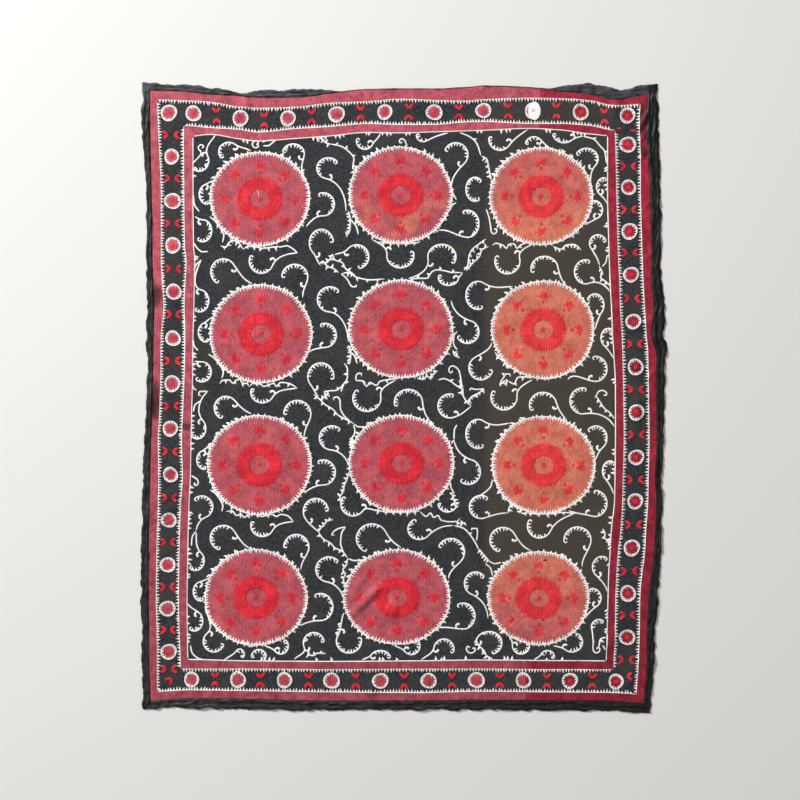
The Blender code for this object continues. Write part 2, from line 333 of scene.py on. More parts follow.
def charcoalCotton():
    # hand-woven plain cotton, dyed charcoal: matt, slightly uneven, brownish where faded;
    # its 0.8 mm threads are drawn at 4.5 mm, the finest that shows from here
    material, shader = newMaterial("charcoal_cotton", {"Roughness": 0.9, "Specular IOR Level": 0.25})
    place = addNode(material, "ShaderNodeTexCoord").outputs["Object"]
    faded, _ = fadedShare(material, place)
    stains = smoothRange(material, noiseOf(material, place, 0.11, 3.0), 0.45, 0.65, 0, 0.45)
    faded = arithmetic(material, "MAXIMUM", faded, stains)
    cloudy = noiseOf(material, place, 0.007, 5.0)
    dark = mixColours(material, smoothRange(material, cloudy, 0.25, 0.8),
                      cotton["charcoal"], cotton["lifted"])
    colour = mixColours(material, arithmetic(material, "MULTIPLY", faded, 0.8), dark, cotton["faded"])
    material.node_tree.links.new(colour, shader.inputs["Base Color"])
    warp = threadsOf(material, place, cotton["thread"], "X")
    weft = threadsOf(material, place, cotton["thread"], "Y")
    addBump(material, shader, arithmetic(material, "ADD", warp, weft), 0.0004, 0.5)
    return material


# Silk, in metres; the dark spots are painted shadows of folds where the bands tuck under, as x, y, half
# width, half height
silk = {
    "paintedShadeSpots": [
        (-0.992, -0.010, 0.045, 0.100), (-0.990, 0.412, 0.035, 0.062), (0.958, 1.110, 0.022, 0.085),
        (0.962, 0.985, 0.030, 0.022), (0.940, 0.120, 0.040, 0.022), (-0.866, -0.115, 0.030, 0.018),
    ],
    "salmonLow": 0.60, "salmonLeft": -0.32, "seamX": 0.517, "seamSlope": -0.0235,
    "thread": 0.0070, "tie": 0.0082, "roughness": 0.6, "streak": 0.0040,
    "tieLength": 3.5, "patch": 0.04,
}


def couchedSilk(name, colours, fadedColours=None, rightColours=None, patchShare=0.35):
    # loose silk laid in upright threads and tied down: a soft gloss that breaks up in streaks
    settings = {"Roughness": silk["roughness"], "Specular IOR Level": 0.28, "Sheen Weight": 0.06}
    material, shader = newMaterial(name, settings)
    place = addNode(material, "ShaderNodeTexCoord").outputs["Object"]
    faded, xyz = fadedShare(material, place)
    streaks = noiseOf(material, place, silk["streak"], 3.0, (1.0, silk["tieLength"], 1.0))
    patches = smoothRange(material, noiseOf(material, place, silk["patch"], 3.0), 0.4, 0.62)
    shade = arithmetic(material, "MULTIPLY", patches, patchShare)
    shade = arithmetic(material, "ADD", shade, smoothRange(material, streaks, 0.3, 0.7, 0, 1 - patchShare))
    colour = mixColours(material, shade, *colours)
    if fadedColours:
        # and salmon patches just under the level fold
        low, high, left = silk["salmonLow"], fading["levelFoldY"], silk["salmonLeft"]
        salmon = smoothRange(material, noiseOf(material, place, 0.09, 2.0), 0.42, 0.62, 0, 0.6)
        for socket, start, end, first, last in (
            (xyz[1], low, low + 0.06, 0, 1),
            (xyz[1], high, high + 0.03, 1, 0),
            (xyz[0], left, left + 0.1, 0, 1),
        ):
            within = smoothRange(material, socket, start, end, first, last)
            salmon = arithmetic(material, "MULTIPLY", salmon, within)
        faded = arithmetic(material, "MAXIMUM", faded, salmon)
        colour = mixColours(material, faded, colour, mixColours(material, shade, *fadedColours))
    if rightColours:
        # another dye lot to the right of the last seam, and both are deeper towards the foot
        across = arithmetic(material, "MULTIPLY", xyz[1], silk["seamSlope"])
        across = arithmetic(material, "ADD", xyz[0], across)
        right = smoothRange(material, across, silk["seamX"] - 0.006, silk["seamX"] + 0.006)
        colour = mixColours(material, right, colour, mixColours(material, shade, *rightColours))
    threads = threadsOf(material, place, silk["thread"], "X", 1.2)
    ties = threadsOf(material, place, silk["tie"], "Y", 2.0)
    # darker and lighter along the thread and tie bands
    threadBandTone = smoothRange(material, arithmetic(material, "ADD", threads, ties), 0.4, 1.6, 0.86, 1.06)
    clouds = smoothRange(material, noiseOf(material, place, 0.07, 3.0), 0.3, 0.7, 0.86, 1.06)
    value = arithmetic(material, "MULTIPLY", threadBandTone, clouds)
    if rightColours:
        deeper = smoothRange(material, xyz[1], -1.15, 0.9, 0.78, 1.03)
        value = arithmetic(material, "MULTIPLY", value, deeper)
        blots = smoothRange(material, noiseOf(material, place, 0.022, 4.0), 0.3, 0.55, 0.72, 1.04)
        value = arithmetic(material, "MULTIPLY", value, blots)
        # painted shade: dark oval spots where the bands fold and tuck under
        for spot in silk["paintedShadeSpots"]:
            dark = smoothRange(material, spotOf(material, place, *spot), 0, 0.5, 1, 0.3)
            value = arithmetic(material, "MULTIPLY", value, dark)
    toned = addNode(material, "ShaderNodeHueSaturation", links={"Value": value, "Color": colour})
    material.node_tree.links.new(toned.outputs[0], shader.inputs["Base Color"])
    grain = noiseOf(material, place, 0.005, 2.0)
    addBump(material, shader, arithmetic(material, "ADD", threads, grain), 0.0007, 0.6)
    return material


def darkSatin():
    # satin-weave cotton edging, charcoal with a dull gloss; painted light makes it grey along the top and
    # painted shade makes it black towards the right
    settings = {"Roughness": 0.5, "Specular IOR Level": 0.3, "Sheen Weight": 0.03}
    material, shader = newMaterial("dark_satin", settings)
    place = addNode(material, "ShaderNodeTexCoord").outputs["Object"]
    xyz = addNode(material, "ShaderNodeSeparateXYZ", links={0: place}).outputs
    cloudy = smoothRange(material, noiseOf(material, place, 0.03, 4.0), 0.3, 0.7)
    # painted shade: the edging darkens from charcoal at the left to black at the right
    paintedShadeBlack = mixColours(material, cloudy, "#060607", "#121214")
    colour = mixColours(material, smoothRange(material, xyz[0], -0.9, 0.9),
                        mixColours(material, cloudy, "#131315", "#2d2c2e"), paintedShadeBlack)
    # painted light: the top strip of edging is grey, as if lit from above
    top = smoothRange(material, xyz[1], 1.18, 1.20)
    top = arithmetic(material, "MULTIPLY", top, smoothRange(material, xyz[0], 0.975, 0.99, 1.0, 0.0))
    colour = mixColours(material, top, colour, mixColours(material, cloudy, "#2a2a2e", "#48484d"))
    material.node_tree.links.new(colour, shader.inputs["Base Color"])
    addBump(material, shader, noiseOf(material, place, 0.008, 3.0), 0.0012, 0.5)
    return material


silkPink = couchedSilk("couched_silk_pink", ("#9c3c50", "#ca6062"), ("#c0584c", "#dc866a"))
silkBand = couchedSilk("couched_silk_band", ("#9c3a4c", "#c85e6a"), rightColours=("#7c0924", "#b6283f"))
silkRed = couchedSilk("couched_silk_red", ("#b8062a", "#ec3237"), ("#cc1a2a", "#f04640"))
silkWhite = couchedSilk("couched_silk_white", ("#f0ebe2", "#ffffff"), patchShare=0.1)
groundCotton = charcoalCotton()
edgingSatin = darkSatin()


def skin(bm, loops):
    # stretches a grid over a stack of loops; a loop drawn to one point closes an end
    rows, around = len(loops) - 1, len(loops[0])
    loops = np.asarray(loops).tolist()
    made = bmesh.ops.create_grid(bm, x_segments=around, y_segments=rows, size=0.5)
    for vert in made["verts"]:
        i = round((vert.co.x + 0.5) * around) % around
        j = round((vert.co.y + 0.5) * rows)
        vert.co = loops[j][i]


def raised(points, height):
    # flat points with a height over the cloth
    return np.column_stack([points, np.full(len(points), height)])


def strand(bm, points, halfWidth, rise=0.42, sides=6):
    # a flat laid strand along points, closed to a tip where its half width is nothing
    points = np.asarray(points, float)
    tangent = np.gradient(points, axis=0)
    tangent /= np.maximum(np.linalg.norm(tangent, axis=1), 1e-9)[:, None]
    normal = np.column_stack([-tangent[:, 1], tangent[:, 0]])
    halfWidth = np.broadcast_to(halfWidth, len(points))
    loops = []
    for point, side, half in zip(points, normal, halfWidth):
        ring = []
        for k in range(sides):
            turn = 2 * math.pi * k / sides
            up = math.sin(turn) * half * (rise if math.sin(turn) > 0 else 0.15)
            offset = point + side * math.cos(turn) * half
            ring.append((offset[0], offset[1], up))
        loops.append(ring)
    skin(bm, loops)


def tapered(count, half, startShare=0.12, endShare=0.12):
    # half widths that round off to a tip at both ends
    t = np.linspace(0, 1, count)
    start = np.clip(t / startShare, 0, 1) ** 0.5 if startShare else 1
    end = np.clip((1 - t) / endShare, 0, 1) ** 0.5 if endShare else 1
    return half * start * end


def tooth(bm, x, y, heading, length, width, lift=0.0003, height=0.0015):
    # one short straight stitch with a sharp tip; lift is the height of what it lies on
    turn = Matrix.Rotation(heading, 4, "Z") @ Matrix.Rotation(math.pi / 2, 4, "Y")
    middle = (x + math.cos(heading) * length / 2, y + math.sin(heading) * length / 2, lift)
    flatten = Matrix.Diagonal((height * 2 / width, 1, 1, 1))
    bmesh.ops.create_cone(
        bm, cap_ends=True, segments=4, radius1=width / 2, radius2=0, depth=length,
        matrix=Matrix.Translation(middle) @ turn @ flatten,
    )


def thorn(bm, x, y, heading, length, width, bend=0.0):
    # a longer curved stitch that narrows to a tip
    t = np.linspace(0, 1, 6)
    turn = heading + bend * t
    run = np.cumsum(np.column_stack([np.cos(turn), np.sin(turn)]) * length / 5, axis=0)
    points = np.array([x, y]) + run - run[0]
    widths = width / 2 * (1 - t) ** 0.8
    widths[0] = 0
    strand(bm, points, widths, 0.6, 4)


def patch(bm, outline, middle, lift, crown=0.0, rings=3):
    # a filled patch of stitches inside an outline, highest in the middle
    outline, middle = np.asarray(outline, float), np.asarray(middle, float)
    spread = outline - middle
    loops = [raised(middle + spread * 0, lift + crown)]
    for f in np.linspace(0, 1, rings + 2)[1:-1]:
        loops.append(raised(middle + spread * f, lift + crown * (1 - f * f)))
    loops.append(raised(middle + spread * 0.985, lift * 0.8))
    loops.append(raised(outline, -0.0006))
    loops.append(raised(middle + spread * 0, -0.0006))
    skin(bm, loops)


def hoop(bm, outer, inner, lift, rings=2):
    # a ring of stitches between two outlines with as many points
    outer, inner = np.asarray(outer, float), np.asarray(inner, float)
    loops = [raised(inner, -0.0006)]
    for f in np.linspace(0.02, 0.98, rings + 2):
        loops.append(raised(inner + (outer - inner) * f, lift))
    loops.append(raised(outer, -0.0006))
    loops.append(loops[0])
    skin(bm, loops)


def petal(bm, x, y, heading, length, width, lift=0.0016, tipShare=0.6, points=10):
    # one brush-shaped petal from its root outwards; tipShare is how broad it stays at its tip
    outline = []
    for k in range(points):
        turn = 2 * math.pi * k / points
        run = length * (0.5 - 0.5 * math.cos(turn))
        aside = width / 2 * math.copysign(abs(math.sin(turn)) ** 0.65, math.sin(turn))
        aside *= 1 + (tipShare - 1) * run / length
        outline.append((x + math.cos(heading) * run - math.sin(heading) * aside,
                        y + math.sin(heading) * run + math.cos(heading) * aside))
    middle = (x + math.cos(heading) * length * 0.5, y + math.sin(heading) * length * 0.5)
    patch(bm, outline, middle, lift, 0.0003, 1)


def finishPiece(name, bm, material, onCloth=True):
    # welds, turns the faces outwards, lays the piece on the cloth and puts it in the scene
    bmesh.ops.remove_doubles(bm, verts=bm.verts[:], dist=1e-6)
    bmesh.ops.recalc_face_normals(bm, faces=bm.faces[:])
    mesh = bpy.data.meshes.new(name)
    bm.to_mesh(mesh)
    bm.free()
    if onCloth:
        places = np.empty(len(mesh.vertices) * 3)
        mesh.vertices.foreach_get("co", places)
        places = places.reshape(-1, 3)
        places[:, 2] += clothTop(places[:, 0], places[:, 1])
        mesh.vertices.foreach_set("co", places.ravel())
    mesh.shade_smooth()
    mesh.set_sharp_from_angle(angle=math.radians(38))
    mesh.materials.append(material)
    piece = bpy.data.objects.new(name, mesh)
    bpy.context.scene.collection.objects.link(piece)
    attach(piece, "root")
    print(name, len(mesh.polygons), "faces")
    return piece


def sheetGrid(name, x, y, top, thickness, material):
    # a thin sheet through a grid of places
    rows, columns = x.shape[0] - 1, x.shape[1] - 1
    bm = bmesh.new()
    bmesh.ops.create_grid(bm, x_segments=columns, y_segments=rows, size=0.5)
    for vert in bm.verts:
        j = round((vert.co.y + 0.5) * rows)
        i = round((vert.co.x + 0.5) * columns)
        vert.co = (x[j, i], y[j, i], top[j, i])
    piece = finishPiece(name, bm, material, onCloth=False)
    if piece.data.polygons[0].normal.z < 0:
        piece.data.flip_normals()
    # its rim is sharp, so that seams don't shade dark
    edges = np.empty(len(piece.data.loops), int)
    piece.data.loops.foreach_get("edge_index", edges)
    piece.data.edges.foreach_set("use_edge_sharp", np.bincount(edges) == 1)
    body = piece.modifiers.new("thickness", "SOLIDIFY")
    body.thickness = thickness
    body.offset = -1
    return piece


def uprightLine(k, count):
    # the left edge, the three seams and the right edge, from bottom to top
    if k in (0, 4):
        return sideLine("left" if k == 0 else "right", edgeLine, count)
    places, values = np.array(cloth["seams"][k - 1]).T
    low = lineAt("bottom", edgeLine, values[0])[0]
    high = lineAt("top", edgeLine, values[-1])[0]
    y = low + (high - low) * np.linspace(0, 1, count)
    return np.stack([np.interp(y, places, values), y], axis=-1)


def makePanels():
    # the four strips of cotton, each turned down a little at its seams
    names = ["panel_left", "panel_middle_left", "panel_middle_right", "panel_right"]
    count = round(2.44 / cloth["step"]) + 1
    panels = []
    for k, name in enumerate(names):
        start, end = uprightLine(k, count), uprightLine(k + 1, count)
        columns = round(abs(end[0, 0] - start[0, 0]) / cloth["step"])
        f = np.linspace(0, 1, columns + 1)
        x = start[:, :1] + (end[:, :1] - start[:, :1]) * f
        low, high = lineAt("bottom", edgeLine, x[0]), lineAt("top", edgeLine, x[-1])
        y = low + (high - low) * np.linspace(0, 1, count)[:, None]
        panel = sheetGrid(name + "_cloth", x, y, clothTop(x, y), cloth["thickness"],
                          groundCotton)
        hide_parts(name)
        panels.append((panel, (x[0, -1] - x[0, 0], y[-1].mean() - y[0].mean())))
    return panels


# Edging: how much shows beside each edge and its wrinkles' heights, in millimetres, as
# place, width, inner crest, trough, outer crest; places run along the side
edging = {
    "across": 14,
    "step": 0.007,
    "thickness": 0.0008,
    "ruck": 0.008,
    "wrinkle": 0.008,
    "left": [
        (-1209, 33, 3, 1, 2), (-1090, 31, 5, 1, 3), (-960, 30, 2, 1, 5), (-820, 30, 5, 2, 2),
        (-690, 31, 3, 1, 4), (-560, 31, 6, 1, 3), (-440, 30, 2, 2, 5), (-300, 30, 6, 1, 2),
        (-170, 31, 3, 1, 5), (-20, 25, 7, 1, 3), (110, 24, 5, 2, 5), (250, 30, 2, 1, 4),
        (390, 30, 6, 1, 2), (540, 27, 3, 2, 5), (700, 24, 5, 1, 2), (850, 23, 2, 1, 4),
        (980, 30, 5, 1, 3), (1110, 33, 3, 2, 4), (1228, 32, 3, 1, 2),
    ],
    "right": [
        (-1220, 26, 3, 1, 2), (-1100, 28, 5, 1, 4), (-960, 31, 3, 2, 2), (-830, 34, 6, 1, 4),
        (-690, 30, 2, 1, 5), (-560, 26, 5, 2, 3), (-420, 24, 3, 1, 4), (-290, 27, 6, 1, 2),
        (-150, 29, 3, 2, 6), (-20, 36, 7, 1, 3), (110, 37, 3, 1, 5), (215, 48, 9, 2, 7),
        (300, 51, 3, 1, 4), (430, 42, 6, 2, 3), (570, 40, 3, 1, 5), (710, 41, 6, 1, 3),
        (850, 42, 3, 2, 5), (980, 44, 6, 1, 3), (1110, 47, 4, 2, 5), (1213, 42, 3, 1, 2),
    ],
    "top": [
        (-1012, 32, 3, 1, 2), (-900, 29, 5, 1, 4), (-780, 31, 3, 2, 5), (-690, 23, 6, 2, 3),
        (-632, 13, 3, 2, 2), (-550, 31, 5, 1, 4), (-440, 32, 3, 1, 5), (-340, 26, 5, 2, 3),
        (-232, 4, 1, 1, 1), (548, 4, 1, 1, 1), (640, 31, 5, 1, 4), (740, 41, 3, 2, 6),
        (848, 40, 6, 2, 3), (910, 48, 4, 1, 5), (976, 43, 3, 1, 2),
    ],
    "bottom": [
        (-1009, 33, 3, 1, 2), (-890, 37, 5, 1, 4), (-760, 40, 3, 2, 5), (-620, 41, 6, 1, 3),
        (-480, 41, 3, 1, 5), (-350, 39, 5, 2, 3), (-210, 39, 3, 1, 5), (-80, 40, 6, 2, 3),
        (60, 40, 3, 1, 4), (200, 41, 5, 1, 5), (340, 41, 3, 2, 3), (480, 44, 6, 1, 5),
        (620, 43, 3, 1, 4), (750, 42, 5, 2, 3), (880, 41, 3, 1, 5), (964, 40, 3, 1, 2),
    ],
}


def edgingValue(side, column, place):
    rows = np.array(edging[side], float)
    return along(rows[:, 0] * mm, rows[:, column] * mm, np.clip(place, rows[0, 0] * mm, rows[-1, 0] * mm))


def makeEdging(side):
    # one strip of satin, sewn to the cloth's edge and gathered in long uneven wrinkles
    upright = side in ("left", "right")
    inner = sideLine(side, edgeLine, round(2.4 / edging["step"]))
    axis = 1 if upright else 0
    place = inner[:, axis]
    width = edgingValue(side, 1, place)
    outward = {"left": (-1, 0), "right": (1, 0), "top": (0, 1), "bottom": (0, -1)}[side]
    outer = inner + np.array(outward) * width[:, None]
    ends = (("bottom", "top") if upright else ("left", "right"))
    low = place[0] - edgingValue(ends[0], 1, inner[0, 1 - axis])
    high = place[-1] + edgingValue(ends[1], 1, inner[-1, 1 - axis])
    outer[:, axis] = low + (high - low) * (place - place[0]) / (place[-1] - place[0])
    for j in range(1, len(place) - 1):
        ruck = noise.noise(Vector((place[j] * 22, 5.3, 1.1)))
        ruck += 0.5 * noise.noise(Vector((place[j] * 70, 2.2, 4.4)))
        outer[j] += np.array(outward) * ruck * min(edging["ruck"], width[j] * 0.25)
    f = np.linspace(0, 1, edging["across"] + 1)
    x = inner[:, :1] + (outer[:, :1] - inner[:, :1]) * f
    y = inner[:, 1:] + (outer[:, 1:] - inner[:, 1:]) * f
    crests = [0.25, 0.5, 0.75]
    bulge = np.zeros_like(x)
    for column, crest in zip((2, 3, 4), crests):
        height = edgingValue(side, column, place)[:, None]
        bulge = np.maximum(bulge, height * np.clip(1 - ((f - crest) / 0.2) ** 2, 0, 1) ** 1.5)
    wrinkle = np.zeros_like(x)
    for j in range(x.shape[0]):
        for i in range(x.shape[1]):
            run = (y[j, i], x[j, i]) if upright else (x[j, i], y[j, i])
            value = noise.noise(Vector((run[0] * 11, run[1] * 80, 3.7)))
            value += 0.6 * noise.noise(Vector((run[0] * 34, run[1] * 170, 8.1)))
            wrinkle[j, i] = value
    rim = np.clip(f / 0.12, 0, 1) * np.clip((1 - f) / 0.1, 0.25, 1)
    lie = cloth["top"] - 0.0006 + foldHeight(cloth["folds"], x, y)
    top = lie + (bulge * 0.6 + np.abs(wrinkle) * edging["wrinkle"]) * rim - 0.0014 * (f > 0.95)
    name = "edging_" + side
    strip = sheetGrid(name + "_satin", x, y, top, edging["thickness"], edgingSatin)
    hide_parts(name)
    return strip


# Pink bands: sizes in metres
bands = {"lift": 0.0009, "across": 4, "step": 0.009}


def makeBand(name, outerSide, innerSide):
    # the embroidered bands between two lines of the frame, on all four sides
    bm = bmesh.new()
    for side in frameLines:
        count = round(2.4 / bands["step"])
        outer, inner = sideLine(side, outerSide, count), sideLine(side, innerSide, count)
        loops = [raised(outer, -0.0006)]
        for f in np.linspace(0, 1, bands["across"] + 1):
            loops.append(raised(outer + (inner - outer) * f, bands["lift"]))
        loops.append(raised(inner, -0.0006))
        # walked the other way round, so that each station along the band is one closed loop
        skin(bm, np.transpose(np.array(loops), (1, 0, 2)))
    return finishPiece(name, bm, silkBand)


# White lines and their teeth, sizes in metres
whiteLine = {
    "half": 0.0021, "fieldHalf": 0.0025, "pitch": 0.0118, "tooth": 0.0112, "toothWidth": 0.0092,
    "step": 0.008,
}


def makeFrameLines():
    rng = random.Random(11)
    bm = bmesh.new()
    inwards = {"left": (1, 0), "right": (-1, 0), "top": (0, -1), "bottom": (0, 1)}
    for line, facing in ((outerLine, 1), (innerLine, -1), (fieldLine, 0)):
        for side in frameLines:
            points = sideLine(side, line, round(2.2 / whiteLine["step"]))
            half = whiteLine["half"] if facing else whiteLine["fieldHalf"]
            strand(bm, points, tapered(len(points), half, 0.002, 0.002))
            if not facing:
                continue
            axis = 1 if side in ("left", "right") else 0
            place = points[0, axis] + whiteLine["pitch"]
            while place < points[-1, axis] - whiteLine["pitch"]:
                across = lineAt(side, line, place)[0]
                x, y = (across, place) if axis else (place, across)
                turn = math.atan2(inwards[side][1], inwards[side][0]) + (math.pi if facing < 0 else 0)
                turn += rng.uniform(-0.25, 0.25)
                length = whiteLine["tooth"] * rng.uniform(0.8, 1.35)
                tooth(bm, x, y, turn, length + whiteLine["half"], whiteLine["toothWidth"])
                place += whiteLine["pitch"] * rng.uniform(0.85, 1.15)
    return finishPiece("frame_lines", bm, silkWhite)


# The twelve medallions: middle x, middle y, half width, half height, in chart squares
medallions = [
    (260, 198.8, 49.7, 46.8), (400.4, 195, 51.4, 48), (541, 196.5, 51.3, 48.5),
    (261, 334, 51, 49), (401, 329.2, 52, 48.8), (543, 329.8, 51, 48.8),
    (259.5, 464.7, 51.8, 49.5), (401.3, 463.5, 52.3, 48.3), (543.4, 465, 51.4, 48.6),
    (256, 597.3, 51, 47.8), (397, 597, 53, 47.2), (538.6, 598, 50.4, 46.5),
]

# Sizes inside a medallion, in metres; its thorns as from angle, to angle, how many, how long
medallion = {
    "padLift": 0.0010,
    "rimHalf": 0.0021,
    "teeth": 114,
    "toothLength": 0.0140,
    "toothWidth": 0.0088,
    "lean": 0.6,
    "points": 56,
    "point": 0.0100,
    "pointWidth": 0.0105,
    "thornWidth": 0.0140,
    "thorns": [(108, 158, 5, 0.019), (28, 68, 4, 0.018), (298, 334, 3, 0.016), (208, 242, 3, 0.015)],
    "ringOuter": 0.086,
    "ringInner": 0.041,
    "ringSpikes": 58,
    "innerSpikes": 30,
    "spike": 0.0125,
    "spikeWidth": 0.0095,
    "flower": 0.009,
    "rosettes": 8,
    "rosetteReach": 0.70,
    "petals": 9,
    "petalLength": 0.0250,
    "petalWidth": 0.0092,
    "dot": 0.0055,
    "dotInset": 0.025,
}


def medallionEdge(k, angles, grow=0.0):
    # the slightly uneven outline of medallion k
    x, y, halfWidth, halfHeight = medallions[k]
    middle = toCloth((x, y))
    wobble = 1 + 0.006 * np.sin(3 * angles + k) + 0.004 * np.sin(7 * angles + 2.3 * k)
    across = (halfWidth * chart["square"] + grow) * wobble
    up = (halfHeight * chart["square"] + grow) * wobble
    return middle + np.column_stack([across * np.cos(angles), up * np.sin(angles)])


def ragged(middle, across, up, spikes, depth, rng, perSpike=3):
    # an outline that runs out into many small uneven points
    outline = []
    for k in range(spikes * perSpike):
        angle = 2 * math.pi * k / (spikes * perSpike)
        reach = depth * (rng.uniform(0.5, 1.2) if k % perSpike == 0 else rng.uniform(-0.3, 0.1))
        outline.append((middle[0] + (across + reach) * math.cos(angle),
                        middle[1] + (up + reach) * math.sin(angle)))
    return outline


def makeMedallions():
    pads, whites, reds = [], [], []
    padTop = medallion["padLift"] + 0.0002
    for k in range(len(medallions)):
        rng = random.Random(100 + k)
        middle = toCloth(medallions[k][:2])
        squash = medallions[k][3] / medallions[k][2]
        angles = np.linspace(0, 2 * math.pi, 120, endpoint=False)
        bm = bmesh.new()
        patch(bm, medallionEdge(k, angles), middle, medallion["padLift"], 0, 20)
        pads.append(finishPiece(f"medallion_{k + 1}_pad", bm, silkPink))

        bm = bmesh.new()
        half = medallion["rimHalf"]
        hoopOuter, hoopInner = medallionEdge(k, angles, half), medallionEdge(k, angles, -half)
        hoop(bm, hoopOuter, hoopInner, 0.0019, 1)
        for i in range(medallion["teeth"]):
            angle = 2 * math.pi * (i + rng.uniform(-0.2, 0.2)) / medallion["teeth"]
            x, y = medallionEdge(k, np.array([angle]), -half * 0.6)[0]
            length = medallion["toothLength"] * rng.uniform(0.75, 1.25)
            inwards = math.atan2(middle[1] - y, middle[0] - x) + rng.uniform(-0.2, 0.2)
            tooth(bm, x, y, inwards, length, medallion["toothWidth"], padTop)
        for low, high, many, longest in medallion["thorns"]:
            for i in range(many):
                angle = math.radians(low + (high - low) * (i + rng.uniform(0.2, 0.8)) / many)
                x, y = medallionEdge(k, np.array([angle]), half * 0.3)[0]
                # the upper ones lean anticlockwise
                lean = medallion["lean"] if math.sin(angle) > 0 else 0
                turn = angle + lean + rng.uniform(-0.25, 0.25)
                length = longest * rng.uniform(0.7, 1.15)
                thorn(bm, x, y, turn, length, medallion["thornWidth"], rng.uniform(-0.5, 0.5))
        for i in range(medallion["points"]):
            angle = 2 * math.pi * (i + rng.uniform(-0.3, 0.3)) / medallion["points"]
            x, y = medallionEdge(k, np.array([angle]), 0)[0]
            length = medallion["point"] * rng.uniform(0.6, 1.25)
            thorn(bm, x, y, angle + rng.uniform(-0.1, 0.5), length, medallion["pointWidth"], 0.2)
        whites.append(finishPiece(f"medallion_{k + 1}_rim", bm, silkWhite))

        bm = bmesh.new()
        ringOuter, ringInner = medallion["ringOuter"], medallion["ringInner"]
        around = np.column_stack([np.cos(angles), np.sin(angles) * squash])
        hoop(bm, middle + around * ringOuter, middle + around * ringInner, 0.0020, 5)
        for many, radius, facing, length in (
            (medallion["ringSpikes"], ringOuter, 0, medallion["spike"]),
            (medallion["innerSpikes"], ringInner, math.pi, medallion["spike"] * 0.45),
        ):
            for i in range(many):
                angle = 2 * math.pi * (i + rng.uniform(-0.25, 0.25)) / many
                x, y = middle + np.array([math.cos(angle), math.sin(angle) * squash]) * radius
                reach = length * rng.uniform(0.75, 1.3)
                tooth(bm, x, y, angle + facing, reach, medallion["spikeWidth"], padTop, 0.0012)
        small = ragged(middle, medallion["flower"], medallion["flower"], 8, 0.007, rng)
        patch(bm, small, middle, 0.0020, 0, 1)
        for i in range(medallion["rosettes"]):
            angle = 2 * math.pi * i / medallion["rosettes"] + math.pi / 2
            reach = medallion["rosetteReach"]
            rim = medallionEdge(k, np.array([angle]))[0]
            x, y = middle + (rim - middle) * reach
            outwards = math.atan2(y - middle[1], x - middle[0])
            for j in range(medallion["petals"]):
                share = j / (medallion["petals"] - 1) - 0.5
                turn = outwards + share * math.radians(255) + rng.uniform(-0.14, 0.14)
                length = medallion["petalLength"] * rng.uniform(0.7, 1.15)
                petal(bm, x, y, turn, length, medallion["petalWidth"], 0.0016 + 0.0002 * (j % 2))
            dot = medallion["dotInset"]
            spot = (x - math.cos(outwards) * dot, y - math.sin(outwards) * dot)
            size = medallion["dot"] * rng.uniform(0.8, 1.2)
            patch(bm, ragged(spot, size, size, 5, 0.003, rng, 2), spot, 0.0018, 0, 1)
        reds.append(finishPiece(f"medallion_{k + 1}_red", bm, silkRed))
    return pads + whites + reds


